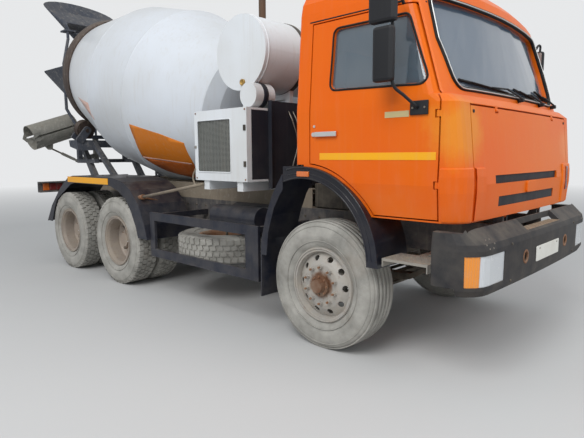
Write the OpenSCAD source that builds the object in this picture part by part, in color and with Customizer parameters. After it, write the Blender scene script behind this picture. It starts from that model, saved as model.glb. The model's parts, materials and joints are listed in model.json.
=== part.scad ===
// Three-axle cab-over truck with a rotating concrete drum, its hoppers and a folding delivery chute.
// Lengths are in millimetres. X points to the front, Y to the left and Z up.
// Every place is measured from the front axle's line on the ground, and placed() moves it so that
// the origin lies under the middle of the whole machine.

/* [Axles and wheels] */
// Distance from the front axle to the middle axle
wheelbase = 3190; // [3000:10:3600]
// Distance between the two rear axles
bogie = 1320; // [1250:5:1400]
// Radius of the front tyres
front_tyre_r = 520; // [500:1:530]
// Radius of the rear tyres
rear_tyre_r = 528; // [505:1:535]
// Width of one tyre at its walls
tyre_w = 284; // [270:1:300]
// Width of the tread
tread_w = 228; // [200:1:240]
// Radius of the rim where the tyre's beads sit
bead_r = 286; // [270:1:290]
// Width of a rim between its flanges
rim_w = 212; // [190:1:220]
// Height of a rim's flange over the bead seat
flange_h = 17; // [12:1:22]
// Distance of a front tyre's middle from the truck's middle
front_track_y = 1020; // [1000:1:1040]
// Distance of the middle of a twin wheel from the truck's middle
rear_track_y = 922; // [900:1:930]
// Distance between the middles of twin tyres
twin_gap = 325; // [315:1:340]
// Distance of a kingpin from the truck's middle
kingpin_y = 890; // [880:1:900]
// Radius of a kingpin
kingpin_r = 20; // [15:1:26]
// Radius of the front spindles
front_spindle_r = 36; // [30:1:45]
// Radius of the rear spindles
rear_spindle_r = 50; // [40:1:60]
// Length of a steering arm, from the kingpin back to the track rod's pin
steer_arm = 195; // [170:1:205]

/* [Frame] */
// Outer width of the two rails
rail_span = 865; // [840:5:900]
// Height of a rail
rail_h = 260; // [220:5:280]
// Height of the rails' top over the ground
rail_top_z = 1030; // [1010:5:1045]
// Width of a rail's flange
rail_flange = 75; // [60:1:90]
// Thickness of a rail's web and flanges
rail_t = 9; // [7:0.5:14]
// Front end of the rails
rail_front_x = 1130; // [1100:5:1150]
// Rear end of the rails
rail_rear_x = -5420; // [-5500:5:-5350]
// Height of the beams that carry the drum, over the rails
subframe_h = 190; // [150:5:200]

/* [Cab] */
// Rear wall of the cab
cab_rear_x = -210; // [-240:5:-200]
// Half of the cab's width
cab_half_w = 1200; // [1180:5:1220]
// Lower edge of the cab
cab_z = 1105; // [1100:1:1125]
// Crown of the roof
roof_z = 2865; // [2820:5:2900]
// Thickness of walls and doors
wall = 45; // [38:1:55]
// Gap around the doors and the facing panel
seam = 10; // [9:0.5:12]
// Thickness of the facing panel at the front
lid_t = 20; // [16:1:24]
// Height of the facing panel's upper seam
lid_top_z = 1855; // [1830:5:1870]
// Half of the facing panel's width
lid_half_w = 990; // [960:5:1000]
// Rear edge of the doors
door_rear_x = -62; // [-80:1:-50]
// Front edge of the doors at their hinges
door_front_x = 1002; // [990:1:1006]
// Height of the cowl under the windscreen
cowl_z = 1925; // [1915:1:1930]
// Upper edge of the doors
door_top_z = 2512; // [2490:1:2530]
// Thickness of the panes
glass_t = 6; // [4:0.5:8]
// Place of the cab's hinge from the front axle
tilt_x = 1100; // [1090:1:1105]
// Height of the cab's hinge
tilt_z = 1100; // [1095:1:1105]
// Radius of the front wings' outer edge
wing_r = 708; // [700:1:715]
// Depth of the front wings' outer face
wing_face = 96; // [70:1:105]

/* [Bumper] */
// Front face of the bumper from the front axle
bumper_x = 1320; // [1300:5:1350]
// Thickness of the bumper's moulding
bumper_t = 28; // [20:1:34]
// Distance of the inner ends of the lamps from the truck's middle
lamp_y = 830; // [800:5:860]
// Height of the lamps' lower edge
lamp_z = 722; // [715:1:740]
// Height of the lamps
lamp_h = 196; // [180:1:205]

/* [Mudguards and guards] */
// Distance of the outer edges of the mudguards from the truck's middle
guard_y = 1220; // [1205:1:1235]
// Height of the flat top of the rear mudguards
rear_guard_z = 1290; // [1270:5:1310]
// Thickness of the mudguards
sheet = 7; // [5:0.5:10]

/* [Drum] */
// Slope of the drum's axis
drum_tilt = 13.68; // [11:0.02:15]
// Place of the roller ring's centre from the front axle
ring_x = -5139; // [-5180:1:-5100]
// Height of the roller ring's centre
ring_z = 2780; // [2770:1:2800]
// Radius of the roller ring
ring_r = 858; // [840:1:870]
// Width of the roller ring
ring_w = 180; // [160:1:190]
// Largest radius of the drum
drum_r = 1101; // [1080:1:1110]
// Radius of the drum's front end
drum_front_r = 814; // [790:1:820]
// Radius of the drum's mouth
mouth_r = 560; // [530:1:580]
// Thickness of the drum's wall
drum_t = 12; // [8:1:20]
// Radius of the rollers under the ring
roller_r = 140; // [120:1:150]
// Angle of the rollers from the lowest point of the ring
roller_angle = 33; // [30:0.5:36]

/* [Tank and cabinet] */
// Radius of the water tank
tank_r = 345; // [320:1:350]
// Half of the water tank's length
tank_half_l = 930; // [850:5:960]
// Width of the cooler cabinet along the truck
cabinet_l = 765; // [720:5:800]
// Height of the cooler cabinet
cabinet_h = 660; // [600:5:700]
// Depth of the cooler cabinet
cabinet_d = 260; // [200:5:320]

/* [Chute] */
// Place of the chute's upright pivot from the front axle
swing_x = -6120; // [-6140:1:-6115]
// Height of the chute's tilting hinge
chute_hinge_z = 1925; // [1920:1:1940]
// Slope of the chute as it is parked
chute_slope = 18.5; // [16:0.5:20]
// Half of the width of a chute trough
trough_r = 205; // [185:1:208]
// Thickness of a trough
trough_t = 6; // [4:0.5:10]
// Length of the main trough beyond its hinge
trough_l = 955; // [900:5:980]
// Length of the folding trough
fold_l = 740; // [600:5:760]
// Rim of the loading hopper at the rear
hopper_rear_x = -6760; // [-6800:5:-6740]
// Height of the loading hopper's rim at the rear
hopper_z = 4235; // [4200:1:4270]

/* [Hidden] */
$fn = 48;

// Clearances: a running fit, a seat where two pieces all but touch, and room beside what moves
run = 0.05;
seat = 0.3;
room = 6;
lid_back = 12;
eps = 1;

mid_x = -wheelbase;
rear_x = -wheelbase - bogie;
bogie_x = (mid_x + rear_x) / 2;
box_mid_x = (bumper_x + hopper_rear_x) / 2;
rail_y = rail_span / 2;
rail_z = rail_top_z - rail_h;
subframe_z = rail_top_z + subframe_h;

orange = [0.86, 0.36, 0.07];
navy = [0.12, 0.17, 0.25];
dark = [0.15, 0.15, 0.16];
grey = [0.45, 0.46, 0.46];
plastic = [0.25, 0.25, 0.26];
white = [0.86, 0.87, 0.88];
rust = [0.42, 0.29, 0.20];
rubber = [0.20, 0.20, 0.20];
pane = [0.55, 0.68, 0.72];

// Moves a piece from the front axle's origin to the machine's own
module placed() translate([-box_mid_x, 0, 0]) children();

// Draws the right-hand piece and its mirror image on the left
module both_sides() {
    children();
    mirror([0, 1, 0]) children();
}

// The piece on one side, where side is -1 for the right and 1 for the left
module on_side(side) mirror([0, side > 0 ? 1 : 0, 0]) children();

// Gives a shape drawn in side view its place across the truck
module side_plate(y0, y1) translate([0, y1, 0]) rotate([90, 0, 0]) linear_extrude(y1 - y0) children();

// Gives a shape drawn in front view, y to the right and z up, its place along the truck
module front_plate(x0, x1) translate([x0, 0, 0]) rotate([90, 0, 90]) linear_extrude(x1 - x0) children();

// A round bar across the truck
module across(x, z, r, y0, y1) translate([x, y1, z]) rotate([90, 0, 0]) cylinder(r = r, h = y1 - y0);

// A round bar along the truck
module along(y, z, r, x0, x1) translate([x0, y, z]) rotate([0, 90, 0]) cylinder(r = r, h = x1 - x0);

// A box from its two corners
module box(a, b) translate(a) cube(b - a);

// A shape drawn about a wheel's axis, with z pointing away from the truck
module on_hub(x, y, z, side) translate([x, side * y, z]) rotate([side > 0 ? -90 : 90, 0, 0]) children();

// Wheels and tyres

// Half of a tyre's outline, as radius and distance from its middle
function tyre_half(r) = [
    [bead_r + seat, rim_w / 2 - seat],
    [bead_r + flange_h + 1, rim_w / 2 - seat],
    [bead_r + flange_h + 9, rim_w / 2 + 4],
    [bead_r + 0.42 * (r - bead_r), tyre_w / 2 - 3],
    [bead_r + 0.55 * (r - bead_r), tyre_w / 2],
    [bead_r + 0.72 * (r - bead_r), tyre_w / 2 - 6],
    [r - 26, tread_w / 2 + 14],
    [r - 6, tread_w / 2]];
function flip(points) = [for (i = [len(points) - 1:-1:0]) [points[i][0], -points[i][1]]];

module tyre(r) {
    half = tyre_half(r);
    rotate_extrude($fn = 96) polygon(concat(half, [[r, tread_w / 2 - 22],
        [r, 22 - tread_w / 2]], flip(half)));
}

// A rim with its flanges and its well, as one ring
module rim() {
    inner_r = bead_r - 24;
    rotate_extrude($fn = 72) polygon([
        [inner_r + 10, -rim_w / 2 - 8], [bead_r + flange_h, -rim_w / 2 - 8],
            [bead_r + flange_h, -rim_w / 2],
        [bead_r, -rim_w / 2], [bead_r, rim_w / 2], [bead_r + flange_h, rim_w / 2],
        [bead_r + flange_h, rim_w / 2 + 8], [inner_r + 10, rim_w / 2 + 8], [inner_r, rim_w / 2 - 30],
        [inner_r, 30 - rim_w / 2]]);
}

// A wheel disc: its rim edge lies at z_rim and its bolting face at z_face
module disc(z_rim, z_face, hole_r, hole_at, thick = 13) {
    inner_r = bead_r - 22;
    difference() {
        rotate_extrude($fn = 72) polygon([
            [60, z_face], [165, z_face], [195, z_face + 0.2 * (z_rim - z_face)], [inner_r, z_rim],
            [inner_r, z_rim - thick], [195, z_face + 0.2 * (z_rim - z_face) - thick],
            [165, z_face - thick], [60, z_face - thick]]);
        for (i = [0:9])
            rotate([0, 0, i * 36])
                translate([hole_at, 0, min(z_rim, z_face) - 60])
                    scale([0.8, 1, 1])
                        cylinder(r = hole_r, h = abs(z_rim - z_face) + 100, $fn = 24);
    }
}

front_hub_in = -34;
front_hub_out = 160;

// The front wheel turns on its spindle with its hub and brake drum
module front_wheel() color(rust) difference() {
    union() {
        rim();
        disc(64, 118, 27, 218);
        translate([0, 0, front_hub_in]) cylinder(r = 178, h = 92);
        translate([0, 0, 50]) cylinder(r1 = 120, r2 = 100, h = 56);
        translate([0, 0, 100]) cylinder(r = 84, h = 46);
        translate([0, 0, 140]) cylinder(r1 = 62, r2 = 52, h = front_hub_out + 24 - 140);
    }
    translate([0, 0, front_hub_in - eps]) cylinder(r = front_spindle_r + run,
        h = front_hub_out - 20 - front_hub_in);
}

// Twin wheels share one hub, and their discs meet at its flange
module twin_wheel() color(rust) difference() {
    union() {
        translate([0, 0, twin_gap / 2]) rim();
        translate([0, 0, -twin_gap / 2]) rim();
        disc(116, 13, 27, 222);
        mirror([0, 0, 1]) disc(116, 13, 27, 222);
        translate([0, 0, -215]) cylinder(r = 200, h = 215);
        translate([0, 0, -eps]) cylinder(r = 118, h = 150);
        translate([0, 0, 148]) cylinder(r1 = 92, r2 = 84, h = 40);
    }
    translate([0, 0, -230]) cylinder(r = rear_spindle_r + run, h = 350);
}

module twin_tyres() color(rubber) {
    translate([0, 0, twin_gap / 2]) tyre(rear_tyre_r);
    translate([0, 0, -twin_gap / 2]) tyre(rear_tyre_r);
}

// Front axle and steering

boss_h = 92;
yoke_y = kingpin_y + 52;
ear_h = 34;
pin_z = front_tyre_r - 112;

// The right-hand stub axle with its kingpin, its spindle and its steering arm
module knuckle_half() {
    difference() {
        union() {
            for (s = [-1, 1])
                translate([0, -kingpin_y, front_tyre_r + s * (boss_h / 2 + seat + ear_h / 2)]) {
                    cylinder(r = 40, h = ear_h, center = true);
                    translate([0, -27, 0]) cube([80, 54, ear_h], center = true);
                }
            box([-48, -yoke_y - 26, front_tyre_r - boss_h / 2 - ear_h],
                [48, -yoke_y, front_tyre_r + boss_h / 2 + ear_h]);
            across(0, front_tyre_r, front_spindle_r, -front_track_y - front_hub_out + 40, -yoke_y);
            translate([0, -kingpin_y, front_tyre_r - boss_h / 2 - ear_h - 6])
                cylinder(r = kingpin_r, h = boss_h + 2 * ear_h + 12);
        }
    }
    // steering arm
    translate([0, 0, pin_z + 22]) linear_extrude(26) polygon([
        [-steer_arm - 22, -kingpin_y - 20], [-steer_arm - 22, 22 - kingpin_y], [-60, 38 - kingpin_y],
        [20, 30 - kingpin_y], [20, -kingpin_y - 30], [-40, -kingpin_y - 30]]);
    // the track rod's pin
    translate([-steer_arm, -kingpin_y, pin_z - 22]) cylinder(r = 12, h = 50);
}

module knuckle(side) on_side(side) color(dark) knuckle_half();

// The track rod keeps both arms parallel. Its left eye is open round that arm's pin.
module track_rod() color(dark) difference() {
    y = kingpin_y;
    union() {
        across(-steer_arm, pin_z, 16, 24 - y, y - 24);
        for (s = [-1, 1])
            translate([-steer_arm, s * y, pin_z - 18]) cylinder(r = 26, h = 36);
    }
    translate([-steer_arm, -y, pin_z - 30]) cylinder(r = 12 + run, h = 60);
    translate([-steer_arm, y, pin_z - 30]) cylinder(r = 14, h = 60);
}

beam_z = front_tyre_r - 130;

// The front beam dips between its springs, and the rear casings swell round their gears
module axles() {
    color(dark) difference() {
        union() {
            for (s = [-1, 1]) {
                translate([0, s * kingpin_y, front_tyre_r - boss_h / 2]) cylinder(r = 42, h = boss_h);
            }
            front_plate(-42, 42) polygon([
                [-kingpin_y, front_tyre_r - 40], [-kingpin_y, front_tyre_r + 40], [-720, front_tyre_r + 30],
                [-520, beam_z + 50], [520, beam_z + 50], [720, front_tyre_r + 30],
                    [kingpin_y, front_tyre_r + 40],
                [kingpin_y, front_tyre_r - 40], [720, front_tyre_r - 50], [520, beam_z - 50],
                    [-520, beam_z - 50],
                [-720, front_tyre_r - 50]]);
        }
        for (s = [-1, 1]) {
            translate([0, s * kingpin_y, 0]) cylinder(r = kingpin_r + run, h = 900);
            // the beam is an I section, hollowed from front and rear
            box([s > 0 ? 14 : -eps - 42, -640, beam_z - 26], [s > 0 ? 43 : -14, 640, beam_z + 26]);
        }
    }
    color(dark) for (x = [mid_x, rear_x]) {
        across(x, rear_tyre_r, 78, 230 - rear_track_y, rear_track_y - 230);
        across(x, rear_tyre_r, rear_spindle_r, -rear_track_y - 100, rear_track_y + 100);
        translate([x, 0, rear_tyre_r]) sphere(r = 218);
        along(0, rear_tyre_r + 60, 70, x + 100, x + 330);
    }
}

spring_y = 420;
bogie_spring_y = 512;

// Leaf springs: one pair over the front beam and one pair over the bogie's trunnion
module springs() {
    top = rail_z - 40;
    seat_z = beam_z + 50 + seat;
    both_sides() {
        color(dark) side_plate(-spring_y - 45, -spring_y + 45) polygon([
            [-760, top - 18], [-760, top], [-400, seat_z + 118], [0, seat_z + 96],
                [400, seat_z + 118], [760, top],
            [760, top - 18], [400, seat_z + 70], [120, seat_z + 22], [120, seat_z], [-120, seat_z],
            [-120, seat_z + 22], [-400, seat_z + 70]]);
        color(dark) for (x = [-760, 760])
            side_plate(-spring_y - 30, -spring_y + 30) polygon([
                [x - 40, rail_z - seat], [x + 40, rail_z - seat], [x + 24, top - 40], [x - 24, top - 40]]);
        color(dark) side_plate(-bogie_spring_y - 48, -bogie_spring_y + 48) polygon([
            [mid_x + 70, rear_tyre_r + 78 + seat], [mid_x + 70, rear_tyre_r + 112],
                [bogie_x + 260, rear_tyre_r + 190],
            [bogie_x, rear_tyre_r + 215], [bogie_x - 260, rear_tyre_r + 190],
                [rear_x - 70, rear_tyre_r + 112],
            [rear_x - 70, rear_tyre_r + 78 + seat], [rear_x + 70, rear_tyre_r + 78 + seat],
            [bogie_x - 200, rear_tyre_r + 20], [bogie_x - 90, rear_tyre_r - 80],
                [bogie_x + 90, rear_tyre_r - 80],
            [bogie_x + 200, rear_tyre_r + 20], [mid_x - 70, rear_tyre_r + 78 + seat]]);
    }
}

// Frame

// A rail with its web outside and its flanges turned in
module rail() difference() {
    box([rail_rear_x, -rail_y, rail_z], [rail_front_x, -rail_y + rail_flange, rail_top_z]);
    box([rail_rear_x - eps, -rail_y + rail_t, rail_z + rail_t],
        [rail_front_x + eps, -rail_y + rail_flange + eps,
        rail_top_z - rail_t]);
}

// Columns: place of a crossmember, its lower and its upper edge above the rails' lower edge
cross_run = [
    [1010, 20, 110], [790, 20, 110], [-1520, 110, 200], [-2350, 110, 220], [mid_x + 90, 110, 220],
        [bogie_x, 110, 220], [rear_x - 65, 110, 220], [-5300, 60, 220]];
rest_x = -172;
bracket_x = bumper_x - bumper_t - 14;

module frame() color(navy) {
    difference() {
        union() {
            both_sides() {
                rail();
                // bracket from the rail's end to the back of the bumper
                box([rail_front_x - 40, -rail_y, 800], [bracket_x, -rail_y + 14, 940]);
                box([bracket_x - 14, -rail_y, 800], [bracket_x, -rail_y + 80, 940]);
                // hinge tower of the cab
                for (y = [318, 386])
                    side_plate(-y - 24, -y) union() {
                        translate([tilt_x, tilt_z]) circle(r = 26);
                        polygon([[tilt_x - 22, tilt_z], [tilt_x - 60, rail_top_z - 4],
                            [tilt_x + 22, rail_top_z - 4],
                            [tilt_x + 22, tilt_z]]);
                    }
                across(tilt_x, tilt_z, 12, -412, -316);
                box([tilt_x - 60, -rail_y + rail_t, rail_top_z - rail_t - 2],
                    [tilt_x + 22, -316, rail_top_z]);
                // post of the rest behind the engine
                box([rest_x - 40, -rail_y - 70, rail_z + 40], [rest_x + 40, -rail_y, cab_floor_z - seat]);
                // trunnion bracket
                side_plate(-rail_y - 140, -rail_y) polygon([
                    [bogie_x - 190, rail_z + 120], [bogie_x + 190, rail_z + 120],
                        [bogie_x + 80, rear_tyre_r - 90],
                    [bogie_x - 80, rear_tyre_r - 90]]);
            }
            box([rest_x - 40, -rail_y - 70, cab_floor_z - 60],
                [rest_x + 40, rail_y + 70, cab_floor_z - seat]);
            for (c = cross_run)
                box([c[0] - 45, -rail_y + rail_t / 2, rail_z + c[1]],
                    [c[0] + 45, rail_y - rail_t / 2, rail_z + c[2]]);
            // tail beam with the lamps
            box([rail_rear_x - 90, -1235, 1010], [rail_rear_x, 1235, 1030]);
            box([rail_rear_x - 90, -1235, 1010], [rail_rear_x - 70, 1235, 1170]);
            box([rail_rear_x - 90, -1235, 1150], [rail_rear_x, 1235, 1170]);
            both_sides() box([rail_rear_x - 80, -rail_y - 6, 900], [rail_rear_x + 80, -rail_y, 1160]);
        }
        // the springs pass through the brackets
        both_sides() side_plate(-bogie_spring_y - 48 - seat, -bogie_spring_y + 48 + seat) polygon([
            [bogie_x - 300, rear_tyre_r + 250], [bogie_x - 300, rear_tyre_r + 100],
                [bogie_x - 90 - seat, rear_tyre_r - 80 - seat],
            [bogie_x + 90 + seat, rear_tyre_r - 80 - seat], [bogie_x + 300, rear_tyre_r + 100],
            [bogie_x + 300, rear_tyre_r + 250]]);
    }
}

// Bumper and lamps

// Outline in plan of a rounded nose. bow is how far the front runs back at its ends.
function nose(xf, hw, rc, bow, xr, rr = 20) = concat(
    [for (i = [-4:4]) let (y = i / 4 * (hw - rc)) [xf - bow * (y * y) / (hw * hw), y]],
    [for (i = [1:5]) let (t = i * 18, x0 = xf - bow * (hw - rc) * (hw - rc) / (hw * hw) - rc)
        [x0 + rc * cos(t), hw - rc + rc * sin(t)]],
    [for (i = [0:2]) let (t = 90 + i * 45) [xr + rr + rr * cos(t), hw - rr + rr * sin(t)]],
    [for (i = [0:2]) let (t = 180 + i * 45) [xr + rr + rr * cos(t), rr - hw + rr * sin(t)]],
    [for (i = [5:-1:1]) let (t = -i * 18, x0 = xf - bow * (hw - rc) * (hw - rc) / (hw * hw) - rc)
        [x0 + rc * cos(t), rc - hw + rc * sin(t)]]);

// Columns: height, front, half width, corner radius, bow
bumper_levels = [
    [656, -24, 1215, 200, 26],
    [700, -2, 1235, 200, 28],
    [950, 0, 1240, 200, 28],
    [990, -12, 1236, 190, 28],
    [1076, -110, 1222, 120, 28]];

// The bumper's solid form, drawn in by d from its face
module bumper_form(d) hull() for (l = bumper_levels)
    translate([0, 0, l[0] + (l[0] > 900 ? -d : l[0] < 680 ? d : 0)])
        linear_extrude(0.5) polygon(nose(bumper_x + l[1] - d, l[2] - d, l[3] - d, l[4], 985 - 4 * d));

module lamp_zone(d) difference() {
    box([1200 - d, -1300, lamp_z - d], [1400, 1300, lamp_z + lamp_h + d]);
    box([1000, -lamp_y + d, 600], [1500, lamp_y - d, 1100]);
}

module bumper() color(plastic) {
    // pads against the frame's brackets
    for (s = [-1, 1]) box([bracket_x + seat, s * 385 - 32, 795],
        [bumper_x - bumper_t + 6, s * 385 + 32, 945]);
    difference() {
    bumper_form(0);
    bumper_form(bumper_t);
    box([900, -1150, 600], [1190, 1150, 1200]);
    box([900, -1300, 600], [1150, 1300, 712]);
    box([900, -1300, 1058], [1174, 1300, 1200]);
    lamp_zone(seat);
    for (s = [-1, 1]) along(s * 461, 827, 38, 1200, 1400);
    // tread recess in the upper face
    box([1202, -380, 1004], [1301, 380, 1100]);
    }
}

module headlamps() color(pane) difference() {
    bumper_form(5);
    bumper_form(72);
    difference() {
        box([900, -1400, 600], [1500, 1400, 1200]);
        lamp_zone(0);
    }
    // parting between headlamp and direction indicator
    for (s = [-1, 1]) box([1000, s * 1130 - 1, 600], [1500, s * 1130 + 1, 1100]);
}

// Engine, gearbox and shafts

module drivetrain() {
    color(grey) {
        box([-760, -340, 700], [280, 340, 1180]);
        box([-700, -400, 1045], [240, 400, 1270]);
        box([-1450, -200, 660], [-755, 200, 960]);
        across(-300, 680, 90, -150, 150);
        // feet in the rails and on the crossmember
        for (x = [-500, 120]) box([x - 40, seat + rail_t - rail_y, 850],
            [x + 40, rail_y - rail_t - seat, 920]);
        box([-1555, -120, rail_z + 200 + seat], [-1440, 120, rail_z + 225]);
        box([-1474, -120, 900], [-1440, 120, rail_z + 225]);
    }
    color(dark) {
        // radiator on the front crossmember
        box([740, -330, rail_z + 110 + seat], [840, 330, 1075]);
        // shafts to both rear axles
        shaft([-1450, 0, 800], [mid_x + 337.1, 0, rear_tyre_r + 61], 45);
        shaft([mid_x - 217.6, 0, rear_tyre_r + 60], [rear_x + 330 + seat, 0, rear_tyre_r + 60], 40);
    }
}

// A round shaft from one point to another
module shaft(a, b, r) {
    d = b - a;
    l = norm(d);
    translate(a) rotate([0, acos(d[2] / l), atan2(d[1], d[0])]) cylinder(r = r, h = l);
}

// Steps, mudguards, guards and what hangs on the frame

module steps() color(grey) both_sides() {
    box([600, -1200, 812], [950, -945, 830]);
    for (x = [600, 942]) box([x, -1200, 770], [x + 8, -945, 830]);
    box([740, -960, 780], [800, -rail_y - seat, 830]);
}

// Columns: place from its wheel's axle and height of the rear mudguard's outer edge, then of its inner edge
behind_run = [
    [-730, 610, -560, 610], [-540, 845, -449, 818], [-380, 976, -350, 940],
    [-220, 1106, -118, 1054], [70, 1268, 130, 1170],
    [210, rear_guard_z, 250, rear_guard_z - 96]];
before_run = [
    [-110, rear_guard_z, -150, rear_guard_z - 96], [-10, 1287, -71, 1189], [226, 1247, 120, 1137],
    [402, 1161, 299, 1041], [564, 999, 401, 908], [675, 782, 497, 731], [725, 618, 532, 619]];
rear_guard_run = concat(
    [for (p = behind_run) [rear_x + p[0], p[1], rear_x + p[2], p[3]]],
    [for (p = before_run) [mid_x + p[0], p[1], mid_x + p[2], p[3]]]);

module mudguards() both_sides() color(navy) {
    outer = [for (p = rear_guard_run) [p[0], p[1]]];
    inner = [for (i = [len(rear_guard_run) - 1:-1:0]) [rear_guard_run[i][2], rear_guard_run[i][3]]];
    under = [for (i = [len(rear_guard_run) - 1:-1:0]) let (p = rear_guard_run[i])
        [p[0] + sheet * sign(p[2] - p[0]) * 0.9, p[1] - sheet * 0.8]];
    side_plate(-guard_y, sheet - guard_y) polygon(concat(outer, inner));
    side_plate(-guard_y, -600) polygon(concat(outer, under));
    for (x = [bogie_x - 420, bogie_x + 420])
        box([x - 25, -1000, 1180], [x + 25, -rail_y - seat, rear_guard_z - 3]);
    // rear part of the front wheel's arch, on the frame, with its flap
    difference() {
        side_plate(-guard_y, -800) polygon([
            [-352, 1392], [-468, 1219], [-542, 1046], [-606, 827], [-612, 701], [-618, 330],
            [-606, 330], [-600, 701], [-594, 825], [-532, 1042], [-459, 1212], [-345, 1384]]);
        box([-400, -1300, 1395], [-300, 0, 1500]);
    }
    side_plate(-guard_y, sheet - guard_y) polygon([
        [-352, 1392], [-468, 1219], [-542, 1046], [-606, 827], [-606, 701], [-545, 701], [-520, 900],
            [-450, 1110],
        [-380, 1225], [-344, 1268], [-344, 1381]]);
    box([-596, -830, 860], [-560, -rail_y - seat, 900]);
}

guard_rear_x = mid_x + 735;
guard_front_x = -690;

module side_guards() color(navy) both_sides() {
    y = 1180;
    for (z = [435, 840]) box([guard_rear_x, -y, z], [guard_front_x, -y + 30, z + 90]);
    box([guard_rear_x, -y, 435], [guard_rear_x + 90, -y + 30, 930]);
    box([guard_front_x - 170, -y, 435], [guard_front_x, -y + 30, 930]);
    for (x = [guard_rear_x + 50, guard_front_x - 90])
        box([x - 30, -y + 20, 850], [x + 30, -rail_y - seat, 910]);
}

tank_rear_x = mid_x + 990;

module side_tanks() {
    // fuel tank on the left
    color(grey) {
        hull() for (y = [560, 1080], z = [520, 940]) along(y, z, 60, tank_rear_x, tank_rear_x + 1050);
        for (x = [tank_rear_x + 200, tank_rear_x + 850])
            box([x - 30, rail_y + seat, 900], [x + 30, 600, 960]);
    }
    // air bottles on the right
    color(navy) {
        for (y = [-590, -860]) along(y, 935, 115, -1640, -960);
        for (x = [-1500, -1100]) box([x - 25, -860, 925], [x + 25, -rail_y - seat, 945]);
    }
}

spare_x = -1800;
spare_y = -620;
spare_z = 585;

module spare_wheel() {
    color(rubber) translate([spare_x, spare_y, spare_z]) tyre(rear_tyre_r);
    color(rust) translate([spare_x, spare_y, spare_z]) {
        rim();
        disc(-60, 0, 27, 220);
    }
    color(dark) {
        translate([spare_x, spare_y, spare_z - 30]) cylinder(r = 40, h = rail_z - seat - spare_z + 30);
        translate([spare_x, spare_y, spare_z - 13]) cylinder(r = 70, h = 6);
        box([spare_x - 60, spare_y - 60, rail_z - 26],
            [spare_x + 60, -rail_y + rail_flange, rail_z - seat]);
    }
}

module subframe() color(grey) {
    both_sides() difference() {
        box([-5420, -rail_y, rail_top_z + seat], [-710, -rail_y + 80, subframe_z]);
        box([-5421, -rail_y + 8, rail_top_z + 12], [-709, -rail_y + 81, subframe_z - 12]);
    }
    for (x = [-815, -1500, -2200, -2900, -3600, -4300, -4860, -5360])
        box([x - 40, -rail_y + 4, rail_top_z + 30], [x + 40, rail_y - 4, rail_top_z + 130]);
}

// Drum and what carries it

drum_dir = [cos(drum_tilt), 0, -sin(drum_tilt)];
drum_up = [sin(drum_tilt), 0, cos(drum_tilt)];
ring_c = [ring_x, 0, ring_z];

// Draws along the drum's axis: z runs forwards from the roller ring
module on_drum_axis() translate(ring_c) rotate([0, 90 + drum_tilt, 0]) children();

// Columns: distance along the axis from the roller ring, radius
drum_run = [
    [-560, mouth_r], [-545, mouth_r + 10], [-60, ring_r - 34], [60, ring_r - 16], [1211, drum_r],
        [2088, drum_r],
    [3293, drum_front_r], [3380, drum_front_r - 160], [3440, 300]];

module drum() color(white) on_drum_axis() difference() {
    union() {
        rotate_extrude($fn = 96) polygon(concat([[0, -560]], [for (p = drum_run) [p[1], p[0]]],
            [[0, 3440]]));
        translate([0, 0, 55 - ring_w]) cylinder(r = ring_r, h = ring_w, $fn = 96);
        translate([0, 0, 3430]) cylinder(r = 190, h = 50);
    }
    rotate_extrude($fn = 96) polygon(concat([[0, -600], [mouth_r - drum_t, -600]],
        [for (p = drum_run) [p[1] - drum_t, p[0] > 3200 ? p[0] - drum_t : p[0]]], [[0, 3440 - drum_t]]));
}

drive_s = 3480 + seat;

// Gearbox at the drum's front end, on its stand
module drum_drive() color(grey) {
    on_drum_axis() translate([0, 0, drive_s]) {
        cylinder(r = 180, h = 60);
        translate([0, 0, 50]) cylinder(r = 150, h = 230);
        translate([0, 0, 270]) cylinder(r = 90, h = 140);
    }
    for (s = [-1, 1]) side_plate(s * 196 - 8, s * 196 + 8) polygon([
        [-2000, subframe_z + seat], [-1720, 1880], [-1480, 1880], [-1250, subframe_z + seat]]);
    box([-1740, -200, 1700], [-1500, 200, 1760]);
    box([-1900, -400, subframe_z + seat], [-1850, 400, subframe_z + 30]);
    box([-1420, -400, subframe_z + seat], [-1370, 400, subframe_z + 30]);
}

roller_d = ring_r + roller_r + seat;

// Place of a roller on one side, drawn along the drum's axis
module on_roller(side) on_drum_axis()
    rotate([0, 0, 180 + side * roller_angle]) translate([-roller_d, 0, 0]) children();

module roller(side) color(grey) on_roller(side) {
    translate([0, 0, -60]) cylinder(r = roller_r, h = 120);
    translate([0, 0, -110]) cylinder(r = 30, h = 220);
}

// A bent pipe through a list of points, each length reaching a little past its bends
module stay(points) for (i = [0:len(points) - 2]) {
    d = (points[i + 1] - points[i]) / norm(points[i + 1] - points[i]);
    shaft(points[i] - 9 * d, points[i + 1] + (i < len(points) - 2 ? 9 * d : [0, 0, 0]), 24 - i * 0.5,
        $fn = 12);
}

post_x = -5900;
post_w = 70;

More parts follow.
